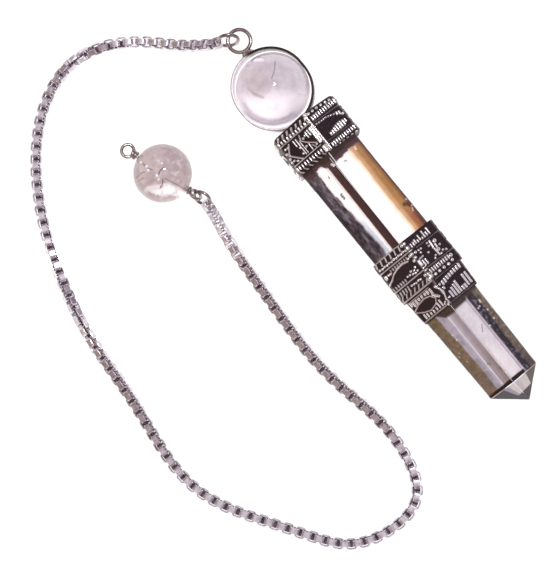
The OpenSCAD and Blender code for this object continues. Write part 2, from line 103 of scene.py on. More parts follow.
def add_mesh(name, verts, faces, mat, smooth=True, angle=None, relief=None, film=None):
    """A mesh in metres; relief gives each point a height, or on the strap a tone of painted light, and film a colour,
    mostly painted light, for its material to use.
    """
    me = bpy.data.meshes.new(name)
    me.from_pydata([tuple(v) for v in verts], [], [tuple(int(i) for i in f) for f in faces])
    me.validate()
    for key, kind, field, values in (("relief", "FLOAT", "value", relief), ("film", "FLOAT_COLOR", "color", film)):
        if values is not None:
            data = me.attributes.new(key, kind, "POINT").data
            data.foreach_set(field, np.asarray(values, dtype=np.float32).ravel())
    me.update()
    me.materials.append(mat)
    me.polygons.foreach_set("use_smooth", [smooth] * len(me.polygons))
    if angle:
        me.set_sharp_from_angle(angle=math.radians(angle))
    return add_object(name, me)


def piece(ob, slot, *nodes):
    """Puts an object into the visual model, in place of the given nodes."""
    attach(ob, "root")
    if nodes:
        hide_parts(*nodes)


def grid_faces(rows, cols, wrap_rows=False, wrap_cols=True):
    r = np.arange(rows if wrap_rows else rows - 1)
    c = np.arange(cols if wrap_cols else cols - 1)
    R, C = np.meshgrid(r, c, indexing="ij")
    a, b = R * cols + C, R * cols + (C + 1) % cols
    d, e = ((R + 1) % rows) * cols + C, ((R + 1) % rows) * cols + (C + 1) % cols
    return np.stack([a, b, e, d], -1).reshape(-1, 4)


def circle(n):
    return np.linspace(0, 2 * np.pi, n, endpoint=False)


def revolved(prof, n):
    """Points of a round shape about z from rows of (radius, height), n to a row."""
    b = circle(n)
    return join([columns([r * np.cos(b), r * np.sin(b), 0 * b + z]) for r, z in prof])


def on_side(a, u, f):
    """The place u along a straight side that lies a from the axis and faces the angle f."""
    return a * np.cos(f) - u * np.sin(f), a * np.sin(f) + u * np.cos(f)


def torus(r, w, n=96, m=20):
    """A ring of round wire about z: r is its middle radius, w the wire's width."""
    a, b = circle(n)[:, None], circle(m)[None, :]
    x = (r + w / 2 * np.cos(b)) * np.cos(a)
    y = (r + w / 2 * np.cos(b)) * np.sin(a)
    return np.stack([x, y, w / 2 * np.sin(b) + 0 * a], -1).reshape(-1, 3), grid_faces(n, m, True)


def tube(pts, r, m=16):
    """A round wire along points, with closed ends."""
    pts = np.asarray(pts, float)
    way = np.gradient(pts, axis=0)
    way /= np.linalg.norm(way, axis=1)[:, None]
    side = np.cross(way[0], [0.3, 0.5, 0.8])
    b = circle(m)
    V = []
    for p, w in zip(pts, way):
        side = side - (side @ w) * w
        side /= np.linalg.norm(side)
        V.append(p + r * (np.cos(b)[:, None] * side + np.sin(b)[:, None] * np.cross(w, side)))
    n = len(pts)
    F = [tuple(f) for f in grid_faces(n, m)]
    return join(V), F + [tuple(range(m))[::-1], tuple(range((n - 1) * m, n * m))]


LATTICE = 64


def value_noise(u, v, cell, seed):
    """Smooth noise from 0 to 1 on a lattice of the given cell, shifted so that all its places are positive."""
    grid = np.random.default_rng(seed).random((LATTICE, LATTICE))
    x, y = np.asarray(u) / cell + 200, np.asarray(v) / cell + 200
    i, j = np.floor(x).astype(int), np.floor(y).astype(int)
    f, g = x - i, y - j
    f, g = f * f * (3 - 2 * f), g * g * (3 - 2 * g)
    at = lambda a, b: grid[a % LATTICE, b % LATTICE]
    return ((at(i, j) * (1 - f) + at(i + 1, j) * f) * (1 - g)
            + (at(i, j + 1) * (1 - f) + at(i + 1, j + 1) * f) * g)


def cloud(u, v, cell, seed):
    """Four such noises, each half as large and half as strong as the one before; from -0.5 to 0.5."""
    shares = [0.5 ** k for k in range(4)]
    return sum(value_noise(u, v, cell * w, seed + k) * w for k, w in enumerate(shares)) / sum(shares) - 0.5


# Materials
QUARTZ_IOR = 1.544


def new_mat(name):
    m = bpy.data.materials.new(name)
    m.use_nodes = True
    nt = m.node_tree
    nt.nodes.clear()
    out = nt.nodes.new("ShaderNodeOutputMaterial")
    bsdf = nt.nodes.new("ShaderNodeBsdfPrincipled")
    nt.links.new(bsdf.outputs[0], out.inputs[0])
    return m, nt, bsdf


def put(node, values):
    """Sets values on a node's own sockets."""
    for name, value in values.items():
        node.inputs[name].default_value = value


def ramp(nt, stops, src):
    n = nt.nodes.new("ShaderNodeValToRGB")
    el = n.color_ramp.elements
    while len(el) < len(stops):
        el.new(0.5)
    for e, (p, c) in zip(el, stops):
        e.position = p
        e.color = (*c, 1)
    nt.links.new(src, n.inputs[0])
    return n.outputs[0]


def noise(nt, scale, detail, rough=0.55):
    n = nt.nodes.new("ShaderNodeTexNoise")
    put(n, {"Scale": scale, "Detail": detail, "Roughness": rough})
    nt.links.new(nt.nodes.new("ShaderNodeTexCoord").outputs["Object"], n.inputs["Vector"])
    return n.outputs[0]


def attribute(nt, name):
    n = nt.nodes.new("ShaderNodeAttribute")
    n.attribute_name = name
    return n


def bump(nt, bsdf, height, strength, distance):
    b = nt.nodes.new("ShaderNodeBump")
    put(b, {"Strength": strength, "Distance": distance})
    nt.links.new(height, b.inputs["Height"])
    nt.links.new(b.outputs[0], bsdf.inputs["Normal"])


def grey(v):
    return (v, v, v)


def silver_mat(name, light, dark, rough, scale=900.0):
    m, nt, p = new_mat(name)
    put(p, {"Metallic": 1.0})
    n = noise(nt, scale, 5)
    nt.links.new(ramp(nt, [(0.32, dark), (0.6, light)], n), p.inputs["Base Color"])
    nt.links.new(ramp(nt, [(0.3, grey(rough * 1.7)), (0.7, grey(rough))], n), p.inputs["Roughness"])
    bump(nt, p, noise(nt, scale * 2.5, 3), 0.35, 0.00002)
    return m


def crystal_mat(name, wave):
    m, nt, p = new_mat(name)
    put(p, {"Base Color": (1, 1, 1, 1), "Transmission Weight": 1.0, "IOR": QUARTZ_IOR})
    nt.links.new(ramp(nt, [(0.55, grey(0.0)), (0.85, grey(0.05))], noise(nt, 260.0, 4)), p.inputs["Roughness"])
    bump(nt, p, noise(nt, 140.0, 2), 0.1, wave)
    return m


def relief_mat(name, stops, rough_low, rough_high, grain=0.35):
    """Silver, darkened in the recesses: the mesh says how far each point stands out, and fine noise is added; on the
    strap the same value holds painted light and shade instead.
    """
    m, nt, p = new_mat(name)
    put(p, {"Metallic": 1.0})
    rise = nt.nodes.new("ShaderNodeMath")
    rise.operation = "MULTIPLY_ADD"
    put(rise, {1: grain})
    nt.links.new(noise(nt, 1600.0, 4), rise.inputs[0])
    nt.links.new(attribute(nt, "relief").outputs["Fac"], rise.inputs[2])
    rise = rise.outputs[0]
    nt.links.new(ramp(nt, stops, rise), p.inputs["Base Color"])
    nt.links.new(ramp(nt, [(0.3, grey(rough_low)), (0.9, grey(rough_high))], rise), p.inputs["Roughness"])
    bump(nt, p, noise(nt, 2600.0, 3), 0.4, 0.00003)
    return m


def blend(nt, kind, factor, a, b):
    """Two colours blended; the factor is a number or an output."""
    n = nt.nodes.new("ShaderNodeMix")
    n.data_type, n.blend_type = "RGBA", kind
    if isinstance(factor, float):
        put(n, {"Factor": factor})
    else:
        nt.links.new(factor, n.inputs["Factor"])
    nt.links.new(a, n.inputs["A"])
    nt.links.new(b, n.inputs["B"])
    return n.outputs["Result"]


def film_mat(name, scale, depth):
    """A layer inside a crystal, mostly painted light and shade over a few real flaws, glowing a little with its
    colour: colour and cover come from the mesh, broken up by fine grain.
    """
    m, nt, p = new_mat(name)
    film = attribute(nt, "film")
    grain = ramp(nt, [(0.3, grey(1 - depth)), (0.7, grey(1.0))], noise(nt, scale, 6, 0.65))
    color = blend(nt, "MULTIPLY", 1.0, film.outputs["Color"], grain)
    nt.links.new(color, p.inputs["Base Color"])
    # The layer glows a little with its own colour: painted light
    nt.links.new(color, p.inputs["Emission Color"])
    put(p, {"Emission Strength": 0.5, "Roughness": 0.8, "Specular IOR Level": 0.0})
    nt.links.new(film.outputs["Alpha"], p.inputs["Alpha"])
    return m


WIRE = silver_mat("silver_wire", (0.50, 0.44, 0.43), (0.18, 0.14, 0.14), 0.13)
CHAIN = silver_mat("silver_chain", (0.87, 0.82, 0.88), (0.52, 0.46, 0.51), 0.2, 1500.0)
STRAP = relief_mat("strap_silver", [
    (0.2, (0.03, 0.02, 0.02)), (0.6, (0.20, 0.16, 0.14)), (1.0, (0.95, 0.92, 0.95))], 0.35, 0.5)
BAND = relief_mat("cast_silver", [
    (0.20, (0.06, 0.042, 0.05)), (0.40, (0.22, 0.17, 0.17)), (0.7, (0.70, 0.65, 0.66)),
    (0.95, (0.97, 0.95, 0.96))], 0.5, 0.2)
QUARTZ = crystal_mat("rock_crystal", 0.00012)
FACETED = crystal_mat("cut_rock_crystal", 0.00003)
VEIL_AND_PAINTED_LIGHT = film_mat("crystal_veil_and_painted_light", 900.0, 0.2)


# Drawing, in the photograph's pixels: strokes give heights from 0 to 1 at the places t, s
def unit(x):
    return np.clip(x, 0, 1)


def bell(d, w):
    return np.sqrt(unit(1 - (d / w) ** 2))


def step(x, a, b):
    y = unit((x - a) / (b - a))
    return y * y * (3 - 2 * y)


def fall(x, a, b):
    return 1 - step(x, a, b)


def between(s, a, b, e=0.35):
    return step(s, a - e, a + e) * fall(s, b - e, b + e)


def over(*hs):
    return np.max(hs, axis=0)


def path(t, s, pts):
    """Distance to a line through points."""
    out = []
    for a, b in zip(np.array(pts[:-1], float), np.array(pts[1:], float)):
        d = b - a
        k = unit(((t - a[0]) * d[0] + (s - a[1]) * d[1]) / (d @ d))
        out.append(np.hypot(t - a[0] - k * d[0], s - a[1] - k * d[1]))
    return np.min(out, axis=0)


def line(t, s, pts, w):
    return bell(path(t, s, pts), w)


def dots(t, s, pts, r):
    return over(*(bell(np.hypot(t - x, s - y), r) for x, y in pts))


def ticks(t, s, xs, top, bottom, w, lean=0.0):
    """Upright teeth at the places xs; top and bottom are numbers, or lists of one for each tooth."""
    ends = zip(xs, np.broadcast_to(top, len(xs)), np.broadcast_to(bottom, len(xs)))
    return over(*(bell(t + lean * (s - a) - x, w) * between(s, a, b, 0.6) for x, a, b in ends))


def every(start, stop, pitch):
    return np.arange(start, stop, pitch)


def strokes(t, s, rows):
    """The highest of many strokes; a row is a height, a kind of stroke and what this kind takes."""
    return over(*(height * kind(t, s, *values) for height, kind, *values in rows))


# Relief of the cast bands: left and right of the corner between their two upper sides, then the corner itself
def cap_relief(t, s, left, edge):
    L = strokes(t, s, [
        (0.75, ticks, every(-36, 5, 5.7), 84.6, 88.6, 1.3, 0.5),
        (1, ticks, every(-33.6, 5, 3.7), 89, 92.8, 1.15),
        (0.6, line, [(-37, 94), (6, 92.9)], 0.7),
        # A dark lozenge in a frame, crossed bars, tall teeth and a bright block at the corner
        (0.7, line, [(-25.8, 96.5), (-32.2, 106), (-23.4, 116)], 1.0),
        (0.55, ticks, [-20.6, -17.6, -15.2], [96, 96, 100], [104, 115.5, 115.5], 0.75),
        (1, dots, [(-31.2, 98.4), (-28.3, 98.6), (-33.2, 103), (-18.7, 106.2), (-12.7, 109), (-10.4, 100.8),
                   (-33.6, 109), (-34.4, 112.6), (-31.3, 112.6), (-28.6, 114.8), (-19.5, 112.6), (-3, 113.6)], 1.5),
        (0.7, line, [(-12, 96), (-14, 101), (-11, 105), (-2.6, 112.2)], 0.8),
        (0.6, line, [(-9.4, 106), (-9.6, 115.5)], 0.7),
        (0.5, line, [(-7.5, 111), (-5.5, 115.5)], 0.7),
        (1, ticks, [-7.6, -5.2, -2.3], [98.5, 96.3, 95.8], [101, 103.8, 103.4], 0.95),
        (1, ticks, [0.6, 2.5, 4.4], 95.6, [115.3, 114.8, 115.3], 1.15),
        (0.7, line, [(-37, 117.6), (-1, 116.6)], 0.7),
        (1, ticks, every(-34.8, -3, 3.45), 119.4, 124.0, 0.95),
        (1, ticks, [0.2, 3.0], 118.6, 126.2, 1.7)])
    slants = 0.65 * bell((t + 36) % 5.9 - 2.95 - 0.9 * (s - 126.2), 1.0) * between(s, 124.4, 128.2)
    R = strokes(t, s, [
        (1, dots, [(10.4, 85.2), (15.3, 85.4), (20.3, 85.5), (25.4, 86), (30.6, 86.6), (35, 87.4)], 1.6),
        (1, dots, [(7.4, 84.2)], 2.4),
        (1, ticks, every(10.3, 39, 2.82), 88.4, 93.8, 0.85),
        (0.3, line, [(8, 95.2), (40, 97)], 0.6),
        # A dark leaf under an arch of beads, over a fan of tall teeth
        (1, dots, [(10.3, 98), (13.2, 98.3), (16, 98.6), (18.7, 98.6), (21.4, 98.8), (24.1, 99.4), (26.8, 100.2),
                   (29.7, 101.3)], 1.15),
        (1, ticks, [32.6, 35.2], [100.4, 101.2], [104.4, 105.4], 1.1),
        (1, dots, [(37, 106.2)], 1.6),
        (1, ticks, [15.5, 18.2, 21, 23.8, 26.6, 29.4, 32.2, 34.9],
         [112.8, 112, 111.2, 110.3, 109.8, 109.8, 110.3, 111],
         [116.8, 117.2, 117.2, 117.2, 117.4, 117.4, 117.2, 115.4], 1.05),
        (0.25, line, [(8, 118.4), (40, 119.6)], 0.6),
        (1, ticks, every(10, 39, 2.72), 121.4, 126.2, 0.85),
        (1, dots, [(12, 128), (16.5, 128.2), (21, 128.6), (26, 129), (31.5, 129.2), (36.5, 129.4)], 1.7)])
    seam = 0.8 * bell(t - 7.0, 0.9) * between(s, 82, 127)
    return over(np.where(left, over(L, slants), R), seam, 0.2 * edge)


def mid_relief(t, s, left, edge):
    L = strokes(t, s, [
        (0.75, ticks, every(-34.2, -3, 5.8), 244.3, 250.2, 0.85, 0.25),
        (0.6, line, [(-38, 244.4), (0, 243.9)], 0.6),
        (1, dots, [(x, 252 + 0.5 * (i % 2)) for i, x in enumerate(every(-34.5, 0, 2.95))], 1.45),
        (0.6, line, [(-38, 255.8), (2, 255.6)], 0.7),
        # A broad leaf with a row of dots beneath, small teeth above and below
        (0.8, line, [(-37, 270), (-31, 267.3), (-26, 263.6), (-20, 261.6), (-13, 260.8), (-7, 262.4)], 0.9),
        (0.5, ticks, every(-26.5, -5, 2.9), 257.6, 261, 0.8),
        (1, ticks, [-34.6], 259.6, 264, 1.4),
        (1, dots, [(-31, 261), (-28.4, 261.2)], 1.4),
        (0.55, ticks, every(-36, -19, 3.0), 274.2, 278, 0.8),
        (1, dots, [(-17, 274.2), (-14, 274.4), (-11.2, 272), (-11, 275.4), (-8, 273.4), (-8.2, 276.4),
                   (-5.3, 271.4), (-5.2, 275.6), (-5, 260.6)], 1.3),
        (0.6, line, [(-38, 279.2), (2, 279)], 0.7),
        (0.6, ticks, every(-36, -20, 3.2), 281.4, 286.8, 0.8, 0.15),
        (1, dots, [(-19.4, 283.6), (-16.7, 284), (-14, 284.4), (-11, 283.8), (-8.4, 284.2)], 1.3),
        (0.6, ticks, every(-33.5, -2, 5.1), 286.6, 291.4, 1.0, 0.6),
        (0.55, line, [(-38, 292.6), (0, 292.4)], 0.9)])
    R = strokes(t, s, [
        (1, ticks, [6.3, 9.4, 12, 14.7, 17.3, 20, 22.9, 25.7, 28.7],
         [250, 250, 249, 251, 247.6, 252, 246.8, 250, 247],
         [254.8, 254.6, 254, 254.6, 254, 254.6, 254.8, 254.6, 254.8], 0.95),
        (0.3, line, [(10, 257), (38, 257.6)], 0.6),
        # A dark leaf between dots and a tall stem with blobs
        (1, dots, [(9.3, 260.4), (12.2, 260.6), (9.6, 263.6), (20.3, 260.2), (20, 263.6), (15.6, 268.2), (19.5, 275),
                   (17.4, 277), (29.4, 269), (28.5, 275.4), (25.4, 277), (31.5, 277)], 1.3),
        (1, line, [(23.4, 259.8), (22.4, 268), (23.2, 277)], 1.1),
        (1, dots, [(27.6, 263), (25.2, 272)], 2.2),
        (1, ticks, [25.9], 265, 270, 1.1),
        (0.3, line, [(5, 279.4), (38, 280.4)], 0.7),
        (1, ticks, [5.4, 8.2, 11, 13.8, 16.7, 19.5, 22.3, 25.2, 28], 281.8, 286.6, 0.95),
        (1, dots, [(31, 284.4)], 2.2),
        (1, dots, [(7.5, 289.6), (12.7, 289.6), (18.3, 289.6), (24, 290), (29.4, 289)], 1.8),
        (0.25, line, [(5, 293.6), (38, 294)], 0.7)])
    C = between(t, -5, 10) * strokes(t, s, [
        (1, dots, [(-2.2, 246.4), (2.1, 246.5), (2.4, 264), (-2, 259.6), (2, 259.4), (5.6, 260), (-1.8, 265.8),
                   (-2.4, 284)], 1.7),
        (1, dots, [(1.8, 252), (-1, 290), (2.6, 288.4), (1.2, 285)], 2.6),
        (1, ticks, [1, 3], [267.6, 268], [275.6, 275], 1.3),
        (1, ticks, [5.8, 8.7], [270, 270.6], 277.4, 1.0),
        (0.9, line, [(0, 255.8), (4.2, 255.8)], 0.8),
        (0.9, line, [(5, 267.8), (9, 267.6)], 1.0),
        (0.9, line, [(0.6, 277.4), (4, 277)], 0.8),
        (0.9, line, [(0.4, 280.4), (4, 280.2)], 0.8)])
    return over(np.where(left, L, R), C, 0.12 * edge)


def neck_relief(t, s, left, edge):
    L = strokes(t, s, [
        (0.65, line, [(-33, 306), (-27, 303), (-18, 301.4), (-12, 303), (-8.4, 308)], 0.8),
        (0.6, line, [(-33, 308), (-27, 312.2), (-20, 315), (-12, 313), (-8.4, 308)], 0.7),
        (1, ticks, [-32, -29.2, -26, -22.5, -18.6, -14.6, -11.5, -8],
         [295.8, 296.6, 296.6, 296.8, 296.6, 296.8, 296.4, 296.8],
         [300.8, 302.6, 302.2, 300.4, 300, 300.2, 301, 303.4], 1.25),
        (0.6, line, [(-33, 295.6), (-8, 295.4)], 0.7),
        (1, line, [(-8.8, 303.8), (-5, 309)], 1.3),
        (1, ticks, [-28.7, -25.7, -22.2, -18.6, -14.8, -11.4, -8],
         [313.4, 314.6, 316, 316, 315.6, 312.6, 311.6], 319.2, 0.95),
        (1, line, [(-4, 317), (-5.6, 319)], 0.9),
        (0.5, line, [(-33, 320.8), (0, 320.8)], 0.9)])
    R = strokes(t, s, [
        (1, ticks, [4.2, 7.8, 11.2, 14.6, 17.9, 21.2, 24.5, 27.8, 31.2],
         [299, 298.4, 297.6, 297, 296.6, 296.2, 295.6, 295.2, 294.8],
         [301.4, 303.4, 302.8, 301.6, 301, 300.6, 300.4, 300.2, 300.2], 1.15, 0.1),
        (1, ticks, [5.4, 7.8, 11.2, 14.6, 17.6, 21, 24.2, 27.6, 31.1],
         [304, 311, 309.4, 308, 306.2, 315, 315, 305.8, 305.6],
         [307, 319, 319.6, 319.8, 319.6, 319.8, 319.8, 319.4, 318.8], 1.15),
        (1, dots, [(4.2, 316.2)], 1.3),
        (0.25, line, [(3, 321.4), (34, 321.6)], 0.8)])
    C = between(t, -5, 4) * strokes(t, s, [
        (1, line, [(-2, 299), (1.2, 304), (2.2, 308.4), (0.8, 312.4), (-1.2, 316)], 1.35),
        (1, line, [(-0.4, 318), (-3, 321.6)], 1.1)])
    return over(np.where(left, L, R), C, 0.2 * edge)


def outline(af, r, n_side=84, n_corner=20):
    """Rounded hexagon: points, outward normals, side number, place along the side, nearness to a corner."""
    a = af / 2
    half = (a - r) * TAN30
    core = (a - r) / COS30
    arc = r * math.radians(60)
    P, N, I, U = [], [], [], []
    for i in range(6):
        f = math.radians(60 * i)
        for k in range(n_side):
            u = half * (2 * (k + 0.5) / n_side - 1)
            P.append(on_side(a, u, f))
            N.append((math.cos(f), math.sin(f)))
            I.append(i)
            U.append(u)
        for k in range(n_corner):
            g = (k + 0.5) / n_corner
            b, c = f + math.radians(60) * g, f + math.radians(30)
            P.append((core * math.cos(c) + r * math.cos(b), core * math.sin(c) + r * math.sin(b)))
            N.append((math.cos(b), math.sin(b)))
            I.append(i if g < 0.5 else (i + 1) % 6)
            U.append(half + arc * g if g < 0.5 else -half - arc * (1 - g))
    U = np.array(U)
    near = fall((half + arc / 2 - np.abs(U)) * PX, 0.8, 2.2)
    return np.array(P), np.array(N), np.array(I), U, near


def hex_radius(ang, af, turn):
    """Distance to a hexagon's side in a direction."""
    a = (np.degrees(ang) - turn) % 60.0
    return af / 2 / np.cos(np.radians(np.where(a > 30, a - 60, a)))


PLATE_T, CHAMFER = 0.6, 0.5
# The ornament fades out over the chamfer; the last three give the smooth faces their tone: painted shade inside the
# hole and under the plate, painted light on the plate's top
FADE_FROM, HOLE_SHADE_RISE, PLATE_SHADE_RISE, PLATE_LIT_RISE = 1.15, 0.15, 0.2, 0.8


def band(name, node, z0, length, relief_fn, af, r, depth, turn, hole, hole_turn, rows, plate=False):
    """A cast band, down from z0; af and hole are widths at its top and bottom, r its corners' radius."""
    P, N, I, U, near = outline(af[0] - 2 * depth, r)
    n = len(P)
    ang = np.arctan2(P[:, 1], P[:, 0])
    left = I % 2 == 0
    # Every side carries the pattern of the one that faces the camera on its hand
    like = columns(on_side(af[0] / 2, U, np.radians(np.where(left, 240, 300) + turn)))
    V, H = [], []
    for k in np.linspace(0, 1, rows):
        down = length * k
        s, t = photo_st(laid(columns([like, np.full(n, z0 - down)])))
        h = relief_fn(t, s, left, near)
        off = h * depth - (af[0] - af[1]) / 2 * k
        if plate and down < CHAMFER:
            drop = CHAMFER - down
            off = off * min(1, FADE_FROM - drop / CHAMFER) - (CHAMFER - math.sqrt(CHAMFER ** 2 - drop ** 2))
        V.append(columns([P + N * off[:, None], np.full(n, z0 - down)]))
        H.append(h)
    F = [grid_faces(rows, n)[:, ::-1]]
    off0, last = rows * n, (rows - 1) * n
    for af_in, z in ((hole[0], z0 - (PLATE_T if plate else 0)), (hole[1], z0 - length)):
        rad = hex_radius(ang, af_in, hole_turn - turn)
        V.append(columns([rad * np.cos(ang), rad * np.sin(ang), np.full(n, z)]))
        H.append(np.full(n, HOLE_SHADE_RISE))
    q = np.arange(n)
    q2 = (q + 1) % n
    F.append(np.stack([last + q, last + q2, off0 + n + q2, off0 + n + q], -1)[:, ::-1])
    F.append(np.stack([off0 + n + q, off0 + n + q2, off0 + q2, off0 + q], -1)[:, ::-1])
    if plate:
        V.append([[0, 0, z0 - PLATE_T], [0, 0, z0]])
        H.append([PLATE_SHADE_RISE, PLATE_LIT_RISE])
        c0 = off0 + 2 * n
        F = [tuple(f) for f in join(F)]
        F += [(off0 + b, off0 + a, c0) for a, b in zip(q, q2)] + [(a, b, c0 + 1) for a, b in zip(q, q2)]
    else:
        F = join(F + [np.stack([off0 + q, off0 + q2, q2, q], -1)[:, ::-1]])
    V = laid(turned(join(V), turn))
    piece(add_mesh(name, V, F, BAND, angle=60, relief=join(H)), "cast_silver", node)


band("cap_band", "head_setting", 0.0, CAP_LEN, cap_relief, af=(12.6, 12.6), r=1.3, depth=0.3, turn=CAP_TURN,
     hole=(11.0, 11.0), hole_turn=BARREL_TURN, rows=110, plate=True)
band("mid_band", "middle_band", MID_Z, MID_LEN, mid_relief, af=(12.3, 12.3), r=1.1, depth=0.2, turn=0.0,
     hole=(11.0, 11.0), hole_turn=BARREL_TURN, rows=116)
band("neck_band", "middle_band", NECK_Z, NECK_LEN, neck_relief, af=(11.26, 10.76), r=0.5, depth=0.12, turn=0.0,
     hole=(10.18, 10.0), hole_turn=POINT_TURN, rows=68)


# Strap, eye ring and solder
STRAP_T, STRAP_W, STRAP_EDGE, STRAIGHT = 0.4, 3.0, 0.12, 1.0
BALL_GAP, FACE_MARGIN, LIT_SIDE = 0.04, 0.4, 0.72
EYE_X, EYE_Z, EYE_R, EYE_WIRE = 0.3, 16.605, 1.875, 0.65
SOLDER_X, SOLDER_FLAT = (EYE_X + BALL_X) / 2 + 0.1, 0.8
SOLDER = [(1.3, 13.6), (1.28, 13.85), (1.1, 14.1), (0.93, 14.32), (0.8, 14.55), (0.55, 14.7), (0.01, 14.78)]
CORNERS = ((1, 1, 0), (-1, 1, 90), (-1, -1, 180), (1, -1, 270))


def rounded_rect(w, h, r, n):
    """Corner by corner, n + 1 points each: (x, y, angle)."""
    out = []
    for sx, sy, a0 in CORNERS:
        for i in range(n + 1):
            a = math.radians(a0 + 90 * i / n)
            out.append((sx * (w / 2 - r) + r * math.cos(a), sy * (h / 2 - r) + r * math.sin(a), a))
    return np.array(out)


def strap():
    """A strip round the ball, with painted shade on its right and top and painted light at the lower left."""
    ang = np.radians(np.linspace(-90, 270, 160, endpoint=False))
    out = columns([np.cos(ang), np.sin(ang)])
    rise = np.where(np.sin(ang) > 0, 0.5, -0.5) * STRAIGHT
    mid = out * (BALL_R + BALL_GAP + STRAP_T / 2) + [BALL_X, BALL_Z] + columns([0 * ang, rise])
    corner = rounded_rect(STRAP_T, STRAP_W, STRAP_EDGE, 3)[:, :2]
    # Two more points on each broad face, so that it keeps a tone of its own
    x, y = STRAP_T / 2, STRAP_W / 2 - FACE_MARGIN
    sec = join([corner[:8], [(-x, y), (-x, -y)], corner[8:], [(x, -y), (x, y)]])
    V = join([columns([p[0] + sec[:, 0] * m[0], sec[:, 1], p[1] + sec[:, 0] * m[1]]) for p, m in zip(mid, out)])
    V[:, 2] = np.maximum(V[:, 2], -PLATE_T / 2)
    # Painted light along the strip: bright over the lower left, painted shade over the right and top; across it,
    # painted shade on the outer edges, a painted highlight on the inner edges and a middle tone on the broad faces
    lit_side = LIT_SIDE * step(np.degrees(ang), 82, 95)
    across = np.where(np.abs(sec[:, 1]) == y, 0.6, np.where(sec[:, 0] > 0, -0.1, 0.1))
    piece(add_mesh("strap", laid(V), grid_faces(len(ang), len(sec), True), STRAP, angle=50,
                   relief=lit_side[:, None] + across[None, :]), "silver_wire", "head_setting")


strap()
V, F = torus(EYE_R, EYE_WIRE)
V = laid(columns([V[:, 0] + EYE_X, V[:, 2], V[:, 1] + EYE_Z]))
piece(add_mesh("eye_ring", V, F, WIRE), "silver_wire", "head_setting")
V = revolved(SOLDER, 32) * [1, SOLDER_FLAT, 1] + [SOLDER_X, 0, 0]
piece(add_mesh("eye_solder", laid(V), grid_faces(len(SOLDER), 32), WIRE), "silver_wire", "head_setting")

# Chain: its way over the table as (x, y, z, roll), from the eye's ring to the bead's
LINK_LEN, LINK_W, LINK_T, LINK_STRIP, LINK_R, PITCH_LEN = 1.82, 1.88, 0.24, 0.95, 0.55, 1.065
LINK_EDGE, LYING_Z = 0.06, 1.03
ROUTE = [(-7.2, 22.7, 2.9, 0), (-10.1, 26.4, 1.2, 0)] + [(x, y, LYING_Z, roll) for x, y, roll in (
    (-14.4, 30.2, 4), (-20.1, 32.6, 44), (-26.1, 32.1, 78), (-31.6, 29.4, 90), (-36.1, 25.4, 90), (-39.8, 20.6, 90),
    (-42.8, 15.4, 90), (-45.2, 9.9, 94), (-47, 4.2, 114), (-48.5, -1.6, 136), (-49.3, -7.6, 152), (-49.6, -13.6, 158),
    (-50.1, -19.6, 160), (-51, -25.5, 170), (-51.6, -31.5, 180), (-50.7, -37.4, 180), (-48, -42.8, 180),
    (-44.7, -47.8, 180), (-41.4, -52.9, 180), (-38.1, -58, 180), (-33.1, -60.5, 180), (-26.7, -61.1, 180),
    (-22.2, -58.7, 182), (-20.6, -52.5, 182), (-20.3, -46.3, 200), (-21.4, -40.6, 202), (-22.5, -34.7, 204),
    (-22.7, -28.7, 204), (-22.4, -22.6, 204), (-22, -16.5, 204), (-21.7, -11.5, 208))] + [(-21.3, -7.2, 1.15, 216)]
START, START_WAY = np.array([-2.60367, 18.8385, 5.9219]), np.array([-0.839733, 0.446494, -0.309017])
END, END_WAY = np.array([-20.3528, -0.632458, 2.82821]), np.array([0.000401433, -0.838361, -0.545115])
START_ROLL, END_ROLL = -20.0, 230.796
LEAD, ROUTE_STEPS = 1.3, 12


def chain_frames():
    """Place, way, and hole direction of every link, worked out as in the part's source."""
    cp = [np.append(START + i * LEAD * START_WAY, START_ROLL) for i in (-1, 0, 1)]
    cp += [np.array(r, float) for r in ROUTE]
    cp += [np.append(END + i * LEAD * END_WAY, END_ROLL) for i in (1, 0, -1)]
    out = []
    for i in range(1, len(cp) - 2):
        for t in np.arange(ROUTE_STEPS) / ROUTE_STEPS:
            out.append((cp[i - 1] * (1 - t) ** 3 + cp[i] * (3 * t ** 3 - 6 * t * t + 4)
                        + cp[i + 1] * (-3 * t ** 3 + 3 * t * t + 3 * t + 1) + cp[i + 2] * t ** 3) / 6)
    S = np.array(out + [np.append(END, END_ROLL)])
    d = np.r_[0, np.cumsum(np.linalg.norm(np.diff(S[:, :3], axis=0), axis=1))]
    n = 2 * int(d[-1] / PITCH_LEN / 2) + 1
    st = d[-1] / n
    at = lambda q: np.array([np.interp(q, d, S[:, c]) for c in range(3)])
    for k in range(n + 1):
        q = k * st
        way = at(min(q + st / 2, d[-1])) - at(max(q - st / 2, 0))
        way /= np.linalg.norm(way)
        side = np.cross([0, 0, 1], way)
        side /= np.linalg.norm(side)
        roll = math.radians(np.interp(q, d, S[:, 3]) + (0 if k % 2 == 0 else 90))
        hole = math.cos(roll) * np.cross(way, side) + math.sin(roll) * side
        yield at(q), way, np.cross(hole, way), hole


def link_shape():
    """A strip bent into a rounded square, with broken edges."""
    h, w, b = LINK_T / 2, LINK_STRIP / 2, LINK_EDGE
    sec = [(h, -w + b), (h, w - b), (h - b, w), (-h + b, w), (-h, w - b), (-h, -w + b), (-h + b, -w), (h - b, -w)]
    way = rounded_rect(LINK_LEN - LINK_T, LINK_W - LINK_T, LINK_R - h, 5)
    V = [(x + math.cos(a) * o, y + math.sin(a) * o, z) for x, y, a in way for o, z in sec]
    return np.array(V), grid_faces(len(way), len(sec), True)[:, ::-1]


